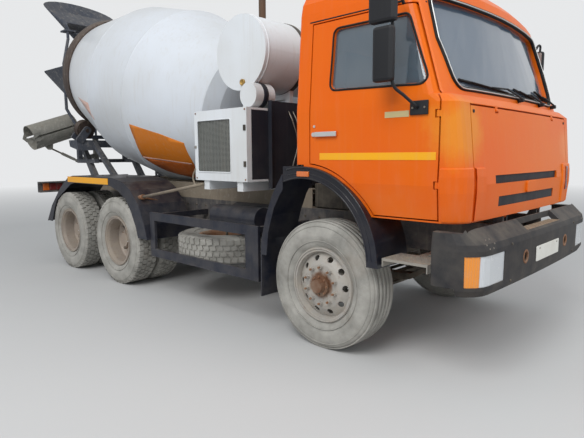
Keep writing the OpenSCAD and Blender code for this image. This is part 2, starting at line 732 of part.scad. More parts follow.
// Bearings of the rollers, the leaning legs under them and the column that carries the chute
module roller_station() color(grey) difference() {
    union() {
        for (side = [-1, 1]) on_roller(side) for (z = [-104, 74]) translate([0, 0, z]) {
            cylinder(r = 62, h = 30);
            translate([-215, -62, 0]) cube([215, 124, 30]);
        }
        both_sides() {
            side_plate(-690, -420) polygon([
                [-5560, 1700], [-5590, 1800], [-5300, 1800], [-5270, 1640]]);
            // leaning legs
            side_plate(-440, -370) polygon([
                [post_x, 1880], [post_x + post_w, 1880], [-5260, subframe_z + seat],
                    [-5400, subframe_z + seat]]);
            side_plate(-440, -370) polygon([
                [-5420, 1800], [-5330, 1800], [-4600, subframe_z + seat], [-4720, subframe_z + seat]]);
            box([post_x, -440, 1440], [post_x + post_w, -370, 1900]);
            box([post_x, -440, 1440], [-5260, -370, 1500]);
            // stays of the loading hopper
            stay([[-5530, -425, 1745], [-5720, -640, 2300], [-5720, -640, 3000], [-5950, -450, 3440],
                [-5950, -450, 3560]]);
        }
        box([-5560, -440, 1690], [-5330, 440, 1800]);
        box([post_x, -440, 1440], [post_x + post_w, 440, 1500]);
        box([post_x, -440, 1840], [post_x + post_w, 440, 1900]);
        for (z = [1440, 1850]) {
            box([swing_x, -60, z], [post_x, 60, z + 40]);
            translate([swing_x, 0, z]) cylinder(r = 60, h = 40);
        }
    }
    for (side = [-1, 1]) on_roller(side) translate([0, 0, -120]) cylinder(r = 30 + run, h = 240);
    translate([swing_x, 0, 1400]) cylinder(r = 30 + run, h = 600);
}

// Hoppers

module loading_hopper() color(navy) {
    both_sides() box([-6110, -500, 3560 + seat], [-5915, -330, 3584]);
    difference() {
        hopper_shell(0);
        hopper_shell(10);
        // the front stands open towards the drum
        side_plate(-800, 800) polygon([[-6400, 4400], [-6050, 3560], [-5800, 3560], [-5500, 4400]]);
    }
}

// Fall of the loading hopper's rim towards the drum
rim_slope = 0.66;

// The hopper's funnel: a half-round rim over a narrow throat
module hopper_shell(d) hull() {
    rim_pts = [for (i = [0:12]) let (t = 90 + i * 15)
        [hopper_rear_x + 350 + (350 - d) * cos(t), (610 - d) * sin(t)]];
    multmatrix([[1, 0, 0, 0], [0, 1, 0, 0], [-rim_slope, 0, 1, hopper_z + rim_slope * hopper_rear_x],
        [0, 0, 0, 1]])
        linear_extrude(d > 0 ? 2 : 1) polygon(rim_pts);
    translate([-5960, 0, 3380 - (d > 0 ? 2 : 0)]) linear_extrude(1) circle(r = 230 - d, $fn = 32);
}

module funnel() difference() {
    hull() {
        translate([0, 0, 2980]) linear_extrude(1) polygon([[-6700, -560], [-6700, 560], [-6540, 630],
            [-5760, 610],
            [-5760, -610], [-6540, -630]]);
        translate([swing_x, 0, 2260]) linear_extrude(1) circle(r = 160, $fn = 32);
    }
    hull() {
        translate([0, 0, 2981]) linear_extrude(2) polygon([[-6690, -554], [-6690, 554], [-6536, 620],
            [-5700, 600],
            [-5700, -600], [-6536, -620]]);
        translate([swing_x, 0, 2258]) linear_extrude(1) circle(r = 152, $fn = 32);
    }
    // room for the drum's mouth
    on_drum_axis() translate([0, 0, -700]) cylinder(r = mouth_r + 60, h = 1200);
}

// The funnel that guides the mix into the chute, on two plates
module discharge_hopper() color(grey) {
    funnel();
    both_sides() {
        side_plate(-112, -100) polygon([
            [post_x, 1900 + seat], [post_x + 60, 1900 + seat], [post_x + 60, 2230], [-5930, 2335],
            [-6012, 2335], [-6012, 2268], [-5965, 2262], [post_x, 2200]]);
        box([-5800, seat - 616.5, 2900], [-5770, -560, 2940]);
        box([-5800, seat - 616.5, 2900], [-5700, -600, 2940]);
    }
}

module ladder() color(grey) {
    for (x = [-5700, -5320]) box([x, 900, 700], [x + 30, 930, 2600]);
    for (z = [880, 1175, 1460, 1760, 2060, 2360]) box([-5700, 905, z], [-5290, 925, z + 30]);
    box([-5600, 440 + seat, 1460], [-5560, 905, 1490]);
}

// Tank, cabinet and exhaust

tank_x = -1170;
tank_z = 2500;
cabinet_x = -1615;
cabinet_y = -1150;
cabinet_z = 1310;

module water_tank() color(white) {
    across(tank_x, tank_z, tank_r, -tank_half_l, tank_half_l);
    for (y = [40 - rail_y, rail_y - 40])
        side_plate(y - 25, y + 25) polygon([
            [tank_x - 150, subframe_z + seat], [tank_x - 150, tank_z - 200], [tank_x + 150, tank_z - 200],
            [tank_x + 150, subframe_z + seat], [tank_x + 90, subframe_z + seat],
                [tank_x + 90, tank_z - 400],
            [tank_x - 90, tank_z - 400], [tank_x - 90, subframe_z + seat]]);
    // small bottle over the cabinet
    across(-990, 2096, 112, -1000, -760);
    box([-1060, -1000, cabinet_z + cabinet_h + seat], [-980, -860, 2030]);
}

// Sheet behind the engine, on the beams' front ends
module rear_shield() color(dark) {
    back = cabinet_x + cabinet_l;
    half_w = -cabinet_y - cabinet_d - 6;
    box([back, -half_w, 1240], [back + 6, half_w, 2040]);
    both_sides() {
        box([back, -half_w, 1240], [back + 45, -half_w + 6, 2040]);
        box([back, 6 - rail_y, subframe_z + seat], [back + 70, 74 - rail_y, 1300]);
    }
}

module cooler_cabinet() color(white) {
    difference() {
        box([cabinet_x, cabinet_y, cabinet_z], [cabinet_x + cabinet_l, cabinet_y + cabinet_d,
            cabinet_z + cabinet_h]);
        box([cabinet_x + 45, cabinet_y - 1, cabinet_z + 80],
            [cabinet_x + 545, cabinet_y + 30, cabinet_z + 570]);
    }
    for (x = [cabinet_x + 150, cabinet_x + cabinet_l - 120])
        box([x - 40, cabinet_y + 20, subframe_z + seat], [x + 40, -rail_y + 60, cabinet_z]);
}

module exhaust_stack() color(rust) translate([-1565, -262, 0]) difference() {
    union() {
        translate([0, 0, subframe_z + seat + 4]) cylinder(r = 38, h = 2126);
        translate([0, 0, subframe_z + seat]) cylinder(r = 46, h = 12);
        box([-40, -158, subframe_z + seat], [40, 0, subframe_z + 10]);
    }
    translate([0, 0, subframe_z + 100]) cylinder(r = 34, h = 2100);
}

// Chute

// Draws in the swinging column's frame: x along the chute and z up
module on_swivel() translate([swing_x, 0, 0]) rotate([0, 0, -90]) children();

hinge_u = 100;
// Draws in the parked chute's frame: x along the trough, z up from its hinge
module on_chute() on_swivel() translate([hinge_u, 0, chute_hinge_z]) rotate([0, chute_slope, 0]) children();

bed = 34;
wall_h = 185;
fold_gap = 24;
fold_pin_x = trough_l + 20;
fold_pin_z = bed + wall_h + fold_gap / 2;
jack_u = 330;
jack_z = 1470;
jack_eye_x = 720;
jack_eye_z = -10;

module trough(x0, x1) translate([x0, 0, bed]) rotate([90, 0, 90]) linear_extrude(x1 - x0) difference() {
    intersection() {
        translate([0, trough_r]) circle(r = trough_r);
        translate([-trough_r, 0]) square([2 * trough_r, wall_h]);
    }
    translate([0, trough_r]) circle(r = trough_r - trough_t);
}

// A plate in the chute's frame, from its side view
module lug(y0, y1) translate([0, y1, 0]) rotate([90, 0, 0]) linear_extrude(y1 - y0) children();

// The column in its bearings, with the clevis of the chute and the arm of the jack
module chute_swivel() color(grey) {
    translate([swing_x, 0, 1430]) cylinder(r = 30, h = 470);
    translate([swing_x, 0, 1480 + seat]) cylinder(r = 50, h = 370 - 2 * seat);
    on_swivel() {
        box([-34, -48, 1890 + seat], [124, 48, 1900]);
        for (y = [-48, 26]) lug(y, y + 22) union() {
            translate([hinge_u, chute_hinge_z]) circle(r = 26);
            polygon([[hinge_u - 60, 1892], [hinge_u - 24, chute_hinge_z + 8],
                [hinge_u + 24, chute_hinge_z + 8],
                [hinge_u + 24, 1892]]);
        }
        lug(-46, 46) translate([hinge_u, chute_hinge_z]) circle(r = 12);
        for (y = [-42, 26]) lug(y, y + 16) polygon([
            [20, 1510], [20, 1600], [jack_u - 20, jack_z + 46], [jack_u + 24, jack_z + 20],
                [jack_u + 24, jack_z - 20],
            [jack_u - 20, jack_z - 20], [jack_u - 60, jack_z + 20]]);
        lug(-40, 40) translate([jack_u, jack_z]) circle(r = 10);
    }
}

module chute_main() color(grey) on_chute() {
    trough(-150, trough_l);
    // lug on the hinge
    lug(-20, 20) difference() {
        union() {
            circle(r = 20);
            polygon([[-20, 0], [-44, bed + 4], [44, bed + 4], [20, 0]]);
        }
        circle(r = 12 + run);
    }
    // ears and pin of the jack's eye
    for (y = [-38, 24]) lug(y, y + 14)
        polygon([[jack_eye_x - 26, jack_eye_z - 22], [jack_eye_x - 60, bed + 6], [jack_eye_x + 60, bed + 6],
            [jack_eye_x + 26, jack_eye_z - 22]]);
    lug(-36, 36) translate([jack_eye_x, jack_eye_z]) circle(r = 8);
    // ears of the folding trough's hinge
    for (y = [-trough_r - 11, trough_r - 5]) lug(y, y + 16) difference() {
        union() {
            translate([fold_pin_x, fold_pin_z]) circle(r = 14);
            polygon([[trough_l - 90, fold_pin_z - 66], [trough_l - 90, fold_pin_z - 30],
                [fold_pin_x - 4, fold_pin_z + 13],
                [fold_pin_x + 12, fold_pin_z - 8], [trough_l, fold_pin_z - 66]]);
        }
        translate([fold_pin_x, fold_pin_z]) circle(r = 8 + run);
    }
}

module chute_fold() color(grey) on_chute() {
    translate([0, 0, 2 * fold_pin_z]) mirror([0, 0, 1]) trough(trough_l - fold_l, trough_l);
    for (s = [-1, 1]) {
        y = s * (trough_r + 21);
        lug(y - 8, y + 8) union() {
            translate([fold_pin_x, fold_pin_z]) circle(r = 14);
            polygon([[trough_l - 90, fold_pin_z + 66], [trough_l - 90, fold_pin_z + 30],
                [fold_pin_x - 4, fold_pin_z - 13],
                [fold_pin_x + 12, fold_pin_z + 8], [trough_l - 10, fold_pin_z + 66]]);
        }
        // the ear's foot on the trough and the hinge's pin
        for (x = [trough_l - 88, trough_l - 40]) translate([x, s > 0 ? trough_r - 13 : -trough_r - 14,
            fold_pin_z + 44])
            cube([24, 27, 20]);
        lug(min(s * (trough_r - 3), y), max(s * (trough_r - 3), y)) translate([fold_pin_x,
            fold_pin_z]) circle(r = 8);
    }
}

// The jack lies along its own x axis, from the arm's pin to the eye
jack_end = [hinge_u + jack_eye_x * cos(chute_slope) + jack_eye_z * sin(chute_slope),
    chute_hinge_z - jack_eye_x * sin(chute_slope) + jack_eye_z * cos(chute_slope)];
jack_l = norm(jack_end - [jack_u, jack_z]);
module on_jack() on_swivel() translate([jack_u, 0, jack_z])
    rotate([0, -atan2(jack_end[1] - jack_z, jack_end[0] - jack_u), 0]) children();

module jack_tube() color(dark) on_jack() difference() {
    union() {
        lug(-17, 17) circle(r = 20);
        rotate([0, 90, 0]) cylinder(r = 19, h = 80);
        translate([62, 0, 0]) rotate([0, 90, 0]) cylinder(r = 24, h = 228);
    }
    lug(-30, 30) circle(r = 10 + run);
    translate([34, 0, 0]) rotate([0, 90, 0]) cylinder(r = 14 + run, h = 300);
}

module jack_rod() color(dark) on_jack() difference() {
    union() {
        translate([170, 0, 0]) rotate([0, 90, 0]) cylinder(r = 14, h = jack_l - 30 - 170);
        translate([jack_l, 0, 0]) lug(-15, 15) circle(r = 31);
    }
    // the eye is wide open round its pin
    translate([jack_l, 0, 0]) lug(-30, 30) circle(r = 24);
}

// Cab

// Columns: height over the ground, front, half width, corner radius, bow, rear wall
face_levels = [
    [1100, 1158, -40, 150, 20, 5],
    [1345, 1172, 0, 150, 22, 0],
    [1872, 1122, 0, 115, 25, 0]];
cowl_level = [cowl_z, 1078, -3, 125, 50, 0];
// Columns: height over the ground, front, half width, corner radius, bow, rear wall
screen_levels = [
    [cowl_z, 1044, -4, 105, 62, 0],
    [2600, 884, -50, 80, 138, 5]];
// Columns: height under the crown, front, half width, corner radius, bow, rear wall
roof_levels = [
    [185, 862, -62, 85, 135, 10],
    [95, 765, -110, 95, 100, 20],
    [25, 500, -215, 120, 60, 80],
    [0, 220, -380, 150, 40, 190]];

// One level of the cab's form, drawn in by d
module cab_level(l, z, d, rc) translate([0, 0, z]) linear_extrude(0.5)
    polygon(nose(l[1] - d, cab_half_w + l[2] - d, rc, l[4], cab_rear_x + l[5] + d));

// The cab's face below the cowl
module cab_face(d) hull() {
    for (l = face_levels) cab_level(l, l[0], d, l[3] - d / 2);
    cab_level(cowl_level, cowl_z - d, d, cowl_level[3] - d / 2);
}

// The cab's windows and roof, which stand back behind the cowl
module cab_top(d) hull() {
    for (l = screen_levels) cab_level(l, l[0] > cowl_z ? l[0] : cowl_z - d - 1, d, l[3] - d / 2);
    for (l = roof_levels) cab_level(l, roof_z - l[0] - d, d, l[3]);
}

// The cab's solid form, drawn in by d from its skin
module cab_form(d) {
    cab_face(d);
    cab_top(d);
}

wing_x = -130;
wing_z = 750;
cab_floor_z = wing_z + wing_r + 14;

// What lies under the cab's floor, raised by d
module under_cab(d) {
    across(wing_x, wing_z, wing_r + seat + d, -1400, 1400, $fn = 180);
    box([-600, -1400, 900], [wing_x, 1400, cab_floor_z + d]);
    box([-600, -1400, 900], [1400, 1400, cab_z + d]);
}

// Side view of a door, grown by d
module door_outline(d) {
    difference() {
        polygon([[door_rear_x - d, cab_z + 20 - d], [door_front_x - 12 + d, cab_z + 20 - d],
            [door_front_x + d, 1480], [door_front_x + d, 1880], [960 + d, 1950], [774 + d, door_top_z + d],
            [door_rear_x - d, door_top_z + d]]);
        translate([wing_x, wing_z]) circle(r = wing_r + 28 - d, $fn = 96);
        translate([-600, 900]) square([wing_x + 600, cab_floor_z - 900 + 14 - d]);
    }
}

// The pane's outline in side view, drawn in by d
module pane_outline(d) hull() for (p = [[170, 2062], [184, 2405], [716, 2405], [852, 2040]])
    translate(p) circle(r = 40 - d, $fn = 24);

// The windscreen's outline in front view, drawn in by d
module screen_outline(d) hull() for (s = [-1, 1], c = [[332, 2096, 110], [268, 2300, 90], [274, 2516, 70]])
    translate([s * (cab_half_w - c[0]), c[1]]) circle(r = c[2] - d, $fn = 24);

module lid_zone(d) box([1000, -lid_half_w - d, 1000], [1300, lid_half_w + d, lid_top_z + d + 2]);

hinge_heights = [1350, 1800];
door_out_y = cab_half_w + 100;
door_in_y = cab_half_w - 150;
hinge_ys = [-600, 600];
door_axis_x = door_front_x - 10;
door_axis_y = cab_half_w - 10;
lid_axis_x = 1114;
lid_axis_z = lid_top_z - 12;

module cab_shell() color(orange) {
    difference() {
        cab_form(0);
        difference() {
            cab_form(wall);
            under_cab(wall);
        }
        under_cab(0);
        // door openings
        both_sides() side_plate(-door_out_y, -door_in_y) door_outline(seam);
        // pocket of the facing panel
        difference() {
            lid_zone(seam);
            cab_face(lid_t + lid_back);
        }
        front_plate(600, 1300) screen_outline(0);
        front_plate(-400, 0) translate([-450, 2000]) square([900, 400]);
        // recesses round the hinge towers
        for (s = [-1, 1]) box([tilt_x - 60, s * 364 - 60, 1000], [1300, s * 364 + 60, tilt_z + 34]);
    }
    // lugs on the hinge
    for (s = [-1, 1]) difference() {
        union() {
            across(tilt_x, tilt_z, 26, s * 364 - 21, s * 364 + 21);
            box([tilt_x - 26, s * 364 - 21, tilt_z], [tilt_x + 26, s * 364 + 21, cab_z + wall]);
        }
        across(tilt_x, tilt_z, 12 + run, s * 364 - 40, s * 364 + 40);
    }
    // hinge lugs of the doors
    both_sides() for (z = hinge_heights) door_lug(z);
    for (y = hinge_ys) lid_lug(y);
}

// A door hinge's lug, from the pillar round the pin
module door_lug(z) difference() {
    union() {
        translate([door_axis_x, -door_axis_y, z - 20]) cylinder(r = 12, h = 40);
        box([door_axis_x, -door_axis_y - 6, z - 20], [door_front_x + seam + 10, -door_axis_y + 12, z + 20]);
    }
    translate([door_axis_x, -door_axis_y, z - 30]) cylinder(r = 6 + run, h = 60);
}

// A lug of the facing panel's hinge
module lid_lug(y) difference() {
    union() {
        across(lid_axis_x, lid_axis_z, 11, y - 20, y + 20);
        box([lid_axis_x - 10, y - 20, lid_axis_z], [lid_axis_x + 2, y + 20, lid_top_z + seam + 10]);
    }
    across(lid_axis_x, lid_axis_z, 5 + run, y - 30, y + 30);
}

module door(side) on_side(side) color(orange) {
    difference() {
        intersection() {
            difference() {
                cab_form(0);
                cab_form(wall);
            }
            side_plate(-door_out_y, -door_in_y - room) door_outline(0);
        }
        side_plate(-door_out_y, -door_in_y) pane_outline(0);
        for (z = hinge_heights)
            box([door_axis_x - 19, -door_out_y, z - 26], [door_front_x + 20, 100 - cab_half_w, z + 26]);
    }
    for (z = hinge_heights) translate([door_axis_x, -door_axis_y, z - 30]) cylinder(r = 6, h = 60);
    // handle
    box([0, -cab_half_w - 18, 1686], [200, -cab_half_w + 4, 1716]);
}

module door_glass(side) on_side(side) color(pane) intersection() {
    difference() {
        cab_form(20);
        cab_form(20 + glass_t);
    }
    side_plate(-door_out_y, -door_in_y) pane_outline(seat);
}

module cab_glass() color(pane) {
    intersection() {
        difference() {
            cab_form(34);
            cab_form(34 + glass_t);
        }
        front_plate(650, 1300) screen_outline(seat);
    }
    front_plate(cab_rear_x + 22, cab_rear_x + 22 + glass_t) translate([-450 + seat, 2000 + seat])
        square([900 - 2 * seat, 400 - 2 * seat]);
}

module front_lid() color(orange) {
    difference() {
        intersection() {
            difference() {
                cab_face(0);
                cab_face(lid_t);
            }
            box([1000, -lid_half_w, cab_z], [1300, lid_half_w, lid_top_z]);
        }
        box([1000, -673, 1343], [1300, 673, 1402]);
        box([1000, -600, 1182], [1300, 600, 1253]);
        for (y = hinge_ys) box([1000, y - 26, lid_axis_z - 18], [1300, y + 26, 1900]);
    }
    for (y = hinge_ys) across(lid_axis_x, lid_axis_z, 5, y - 30, y + 30);
}

module front_wings() color(navy) both_sides() difference() {
    union() {
        difference() {
            across(wing_x, wing_z, wing_r, -guard_y, -820);
            across(wing_x, wing_z, wing_r - sheet, -guard_y + sheet, -819);
            across(wing_x, wing_z, wing_r - wing_face, -guard_y - eps, -819);
        }
        difference() {
            box([-338, -guard_y, wing_z + wing_r - 92], [wing_x, -820, wing_z + wing_r]);
            box([-339, -guard_y + sheet, 1000], [wing_x, -819, wing_z + wing_r - sheet]);
        }
    }
    box([-900, -1300, 0], [wing_x - 208, 0, 1500]);
    box([-900, -1300, 0], [wing_x, 0, 1334]);
    box([-900, -1300, 0], [1300, 0, wing_z]);
}

wheel_x = 610;
wheel_y = cab_half_w - 615;
wheel_z = 1930;
module on_column() translate([wheel_x, wheel_y, wheel_z]) rotate([0, -35, 0]) children();

module cab_interior() color(dark) {
    both_sides() {
        box([-40, 360 - cab_half_w, 1600], [450, 860 - cab_half_w, 1720]);
        box([-140, 370 - cab_half_w, 1690], [0, 850 - cab_half_w, 2360]);
        difference() {
            box([60, 500 - cab_half_w, 1250], [360, 720 - cab_half_w, 1610]);
            under_cab(wall + seat);
        }
    }
    side_plate(120 - cab_half_w, cab_half_w - 120) polygon([
        [860, 1500], [790, 1740], [825, 1850], [930, 1872], [1000, 1840], [1010, 1500]]);
    for (y = [-500, 500]) box([930, y - 30, cab_z + wall + seat], [1000, y + 30, 1510]);
    on_column() translate([0, 0, -420]) cylinder(r = 32, h = 420 - 30 - seat);
}

module steering_wheel() color(dark) on_column() {
    rotate_extrude() translate([225, 0]) circle(r = 15, $fn = 16);
    for (i = [0:2]) rotate([0, 0, i * 120]) translate([0, -14, -8]) cube([215, 28, 16]);
    translate([0, 0, -30]) cylinder(r = 50, h = 45);
}

module mirror_arm(side) on_side(side) color(dark) {
    y = -cab_half_w;
    box([628, y - 200, 2000], [772, y - 140, 2340]);
    box([594, y - 200, 2360], [786, y - 140, 2560]);
    box([800, y - 13, 1796], [930, y - seat, 1888]);
    shaft([752, y - 150, 2624], [752, y - 150, 1985], 12);
    shaft([752, y - 150, 1990], [860, y - 14, 1842], 11);
    shaft([752, y - 150, 2614], [735, y + 31.5, 2490], 11);
}

placed() frame();
placed() bumper();
placed() headlamps();
placed() drivetrain();
placed() axles();
placed() springs();
placed() steps();
placed() mudguards();
placed() side_tanks();
placed() side_guards();
placed() spare_wheel();
placed() subframe();
placed() drum_drive();
placed() roller_station();
placed() loading_hopper();
placed() discharge_hopper();
placed() ladder();
placed() water_tank();
placed() cooler_cabinet();
placed() rear_shield();
placed() exhaust_stack();
placed() drum();
placed() roller(-1);  // roller_right
placed() roller(1);  // roller_left
placed() chute_swivel();
placed() chute_main();
placed() chute_fold();
placed() jack_tube();
placed() jack_rod();
placed() cab_shell();
placed() cab_glass();
placed() cab_interior();
placed() steering_wheel();
placed() front_wings();
placed() front_lid();
placed() door(-1);  // door_right
placed() door(1);  // door_left
placed() door_glass(-1);  // door_glass_right
placed() door_glass(1);  // door_glass_left
placed() mirror_arm(-1);  // mirror_right
placed() mirror_arm(1);  // mirror_left
placed() knuckle(-1);  // knuckle_right
placed() knuckle(1);  // knuckle_left
placed() track_rod();
placed() on_hub(0, front_track_y, front_tyre_r, -1) front_wheel();  // front_wheel_right
placed() on_hub(0, front_track_y, front_tyre_r, 1) front_wheel();  // front_wheel_left
placed() on_hub(0, front_track_y, front_tyre_r, -1) color(rubber) tyre(front_tyre_r);  // front_tyre_right
placed() on_hub(0, front_track_y, front_tyre_r, 1) color(rubber) tyre(front_tyre_r);  // front_tyre_left
placed() on_hub(mid_x, rear_track_y, rear_tyre_r, -1) twin_wheel();  // mid_wheel_right
placed() on_hub(mid_x, rear_track_y, rear_tyre_r, 1) twin_wheel();  // mid_wheel_left
placed() on_hub(mid_x, rear_track_y, rear_tyre_r, -1) twin_tyres();  // mid_tyres_right
placed() on_hub(mid_x, rear_track_y, rear_tyre_r, 1) twin_tyres();  // mid_tyres_left
placed() on_hub(rear_x, rear_track_y, rear_tyre_r, -1) twin_wheel();  // rear_wheel_right
placed() on_hub(rear_x, rear_track_y, rear_tyre_r, 1) twin_wheel();  // rear_wheel_left
placed() on_hub(rear_x, rear_track_y, rear_tyre_r, -1) twin_tyres();  // rear_tyres_right
placed() on_hub(rear_x, rear_track_y, rear_tyre_r, 1) twin_tyres();  // rear_tyres_left
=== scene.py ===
import json
import logging
import math
from dataclasses import dataclass
from enum import Enum
from typing import Iterable, Sequence

import bmesh
import bpy
from mathutils import Matrix, Vector
from mathutils.bvhtree import BVHTree


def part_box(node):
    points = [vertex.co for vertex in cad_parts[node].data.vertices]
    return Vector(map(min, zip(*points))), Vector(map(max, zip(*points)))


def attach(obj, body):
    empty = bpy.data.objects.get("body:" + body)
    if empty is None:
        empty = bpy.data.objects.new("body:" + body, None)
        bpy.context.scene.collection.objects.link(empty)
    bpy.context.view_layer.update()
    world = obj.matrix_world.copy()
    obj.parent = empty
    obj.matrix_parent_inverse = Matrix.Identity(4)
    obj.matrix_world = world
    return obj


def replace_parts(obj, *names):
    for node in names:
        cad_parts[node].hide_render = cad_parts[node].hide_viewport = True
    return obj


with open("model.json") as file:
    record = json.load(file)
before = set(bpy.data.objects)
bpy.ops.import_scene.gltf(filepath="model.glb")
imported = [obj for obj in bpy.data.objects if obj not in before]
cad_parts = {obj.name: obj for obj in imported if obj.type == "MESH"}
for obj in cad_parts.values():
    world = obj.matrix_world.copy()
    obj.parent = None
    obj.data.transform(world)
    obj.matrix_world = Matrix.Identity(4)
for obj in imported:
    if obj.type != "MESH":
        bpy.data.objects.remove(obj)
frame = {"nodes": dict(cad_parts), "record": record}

LOG = logging.getLogger("mixer_truck")
RGB = tuple[float, float, float]
Point = tuple[float, float, float]
Outline = Sequence[tuple[float, float]]
Socket = bpy.types.NodeSocket
Feed = Socket | float | RGB

# Metres: the front axle's place ahead of the model's middle, and the rear axles' places behind the front one
AXLE_X = 2.72
MID_AXLE = -3.19
REAR_AXLE = -4.51
# Where a ray towards a skin starts: out from the truck's middle, and ahead of its front axle
FAR_SIDE = 1.5
FAR_FRONT = 1.8


def spot(x: float, y: float, z: float) -> Vector:
    """A place measured from the front axle, in the model's own frame."""
    return Vector((x + AXLE_X, y, z))


def tone(red: int, green: int, blue: int) -> RGB:
    """A display colour of 0 to 255 as the linear colour that shaders take."""
    return tuple((c / 255.0) ** 2.2 for c in (red, green, blue))


DUST = tone(176, 164, 146)
RUST = tone(110, 66, 42)
CEMENT = tone(168, 166, 158)
AHEAD = Vector((1, 0, 0))
UP = Vector((0, 0, 1))


class Side(Enum):
    """The truck's right-hand and left-hand side."""

    RIGHT = -1
    LEFT = 1

    @property
    def word(self) -> str:
        """The side's name as the frame's bodies use it."""
        return self.name.lower()

    @property
    def out(self) -> Vector:
        """The direction away from the truck on this side."""
        return Vector((0, self.value, 0))


class NodeBench:
    """A node tree under way, with short calls for the nodes that finishes and studio need."""

    def __init__(self, tree: bpy.types.NodeTree) -> None:
        """Empties a node tree to build in it.

        Args:
            tree: the material's or the world's tree.
        """
        self.tree = tree
        self.tree.nodes.clear()

    def feed(self, socket: Socket, value: Feed) -> None:
        """Links a socket, or sets it to a number or a colour.

        Args:
            socket: the input.
            value: another socket, a number or a colour.
        """
        if isinstance(value, bpy.types.NodeSocket):
            self.tree.links.new(value, socket)
        elif isinstance(value, tuple):
            socket.default_value = (*value, 1.0) if len(socket.default_value) == 4 else value
        else:
            socket.default_value = value

    def node(self, kind: str, feeds: dict[int | str, Feed] | None = None, rule: str = "") -> bpy.types.Node:
        """Adds a node.

        Args:
            kind: the node's kind.
            feeds: what its inputs take, by their name or number.
            rule: its operation, where it has one.

        Returns:
            The node.
        """
        step = self.tree.nodes.new(kind)
        if rule:
            step.operation = rule
        for key, value in (feeds or {}).items():
            self.feed(step.inputs[key], value)
        return step

    def calc(self, rule: str, a: Socket | float, b: Socket | float = 0.0, hold: bool = False) -> Socket:
        """A Math node.

        Args:
            rule: the node's operation.
            a: the first input.
            b: the second input.
            hold: whether the result is kept between 0 and 1.

        Returns:
            The result's socket.
        """
        step = self.node("ShaderNodeMath", {0: a, 1: b}, rule)
        step.use_clamp = hold
        return step.outputs[0]

    def times(self, a: Socket, b: Socket | float, hold: bool = False) -> Socket:
        """The product of two values."""
        return self.calc("MULTIPLY", a, b, hold)

    def plus(self, a: Socket, b: Socket | float, hold: bool = False) -> Socket:
        """The sum of two values."""
        return self.calc("ADD", a, b, hold)

    def band(self, value: Socket, low: float, high: float) -> Socket:
        """A value spread so that low gives 0 and high gives 1, held there beyond them."""
        return self.node("ShaderNodeMapRange", {"Value": value, "From Min": low, "From Max": high}).outputs[0]

    def blend(self, share: Socket, under: Feed, over: Feed) -> Socket:
        """One colour laid over another.

        Args:
            share: how much of the upper colour shows.
            under: the lower colour.
            over: the upper colour.

        Returns:
            The mixed colour.
        """
        step = self.node("ShaderNodeMix")
        step.data_type = "RGBA"
        for socket, value in zip((step.inputs[0], step.inputs[6], step.inputs[7]), (share, under, over)):
            self.feed(socket, value)
        return step.outputs[2]


class PaintBench(NodeBench):
    """A material under way, whose colour is laid on coat by coat."""

    def __init__(self, name: str, colour: RGB) -> None:
        """Starts a material of one colour.

        Args:
            name: the material's name.
            colour: the colour under all coats.
        """
        self.material = bpy.data.materials.new(name)
        self.material.use_nodes = True
        super().__init__(self.material.node_tree)
        self.colour = colour
        self.shader = self.node("ShaderNodeBsdfPrincipled")
        self.out = self.node("ShaderNodeOutputMaterial", {0: self.shader.outputs[0]})
        self.place = self.node("ShaderNodeTexCoord").outputs["Object"]
        self.x, self.y, self.z = self.node("ShaderNodeSeparateXYZ", {0: self.place}).outputs

    def stretch(self, scale: Point) -> Socket:
        """The place, scaled along each axis."""
        return self.node("ShaderNodeMapping", {0: self.place, "Scale": scale}).outputs[0]

    def cloud(self, size: float, detail: float = 4.0, rough: float = 0.55,
              at: Socket | None = None) -> Socket:
        """Noise from 0 to 1.

        Args:
            size: spots to a metre.
            detail: levels of finer noise.
            rough: weight of the finer levels.
            at: the vector to read, or None for the place.

        Returns:
            The noise value.
        """
        feeds = {"Vector": at or self.place, "Scale": size, "Detail": detail, "Roughness": rough}
        return self.node("ShaderNodeTexNoise", feeds).outputs[0]

    def grains(self, size: float) -> Socket:
        """Distance to the nearest of scattered points, so many to a metre."""
        return self.node("ShaderNodeTexVoronoi", {"Vector": self.place, "Scale": size}).outputs[0]

    def facing_up(self) -> Socket:
        """How far a face looks upwards, as the height of its normal."""
        normal = self.node("ShaderNodeNewGeometry").outputs["Normal"]
        return self.node("ShaderNodeSeparateXYZ", {0: normal}).outputs[2]

    def lay(self, tint: RGB, mask: Socket, amount: float = 1.0) -> None:
        """Lays a tint over the colour so far.

        Args:
            tint: the tint.
            mask: where it lies, from 0 to 1.
            amount: how much of it shows there.
        """
        share = mask if amount == 1.0 else self.times(mask, amount)
        self.colour = self.blend(share, self.colour, tint)

    def relief(self, height: Socket, depth: float) -> None:
        """Bump from a height, where a height of 1 means a depth in metres."""
        bump = self.node("ShaderNodeBump", {"Height": height, "Distance": depth, "Strength": 1.0})
        self.feed(self.shader.inputs["Normal"], bump.outputs[0])

    def settle(self, rough: Socket, sheen: dict[str, float] | None = None) -> bpy.types.Material:
        """Feeds the shader and gives the material.

        Args:
            rough: the roughness.
            sheen: further values, by the shader's inputs.

        Returns:
            The finished material.
        """
        feeds = {"Base Color": self.colour, "Roughness": rough, "Coat Roughness": 0.15, **(sheen or {})}
        for name, value in feeds.items():
            self.feed(self.shader.inputs[name], value)
        return self.material


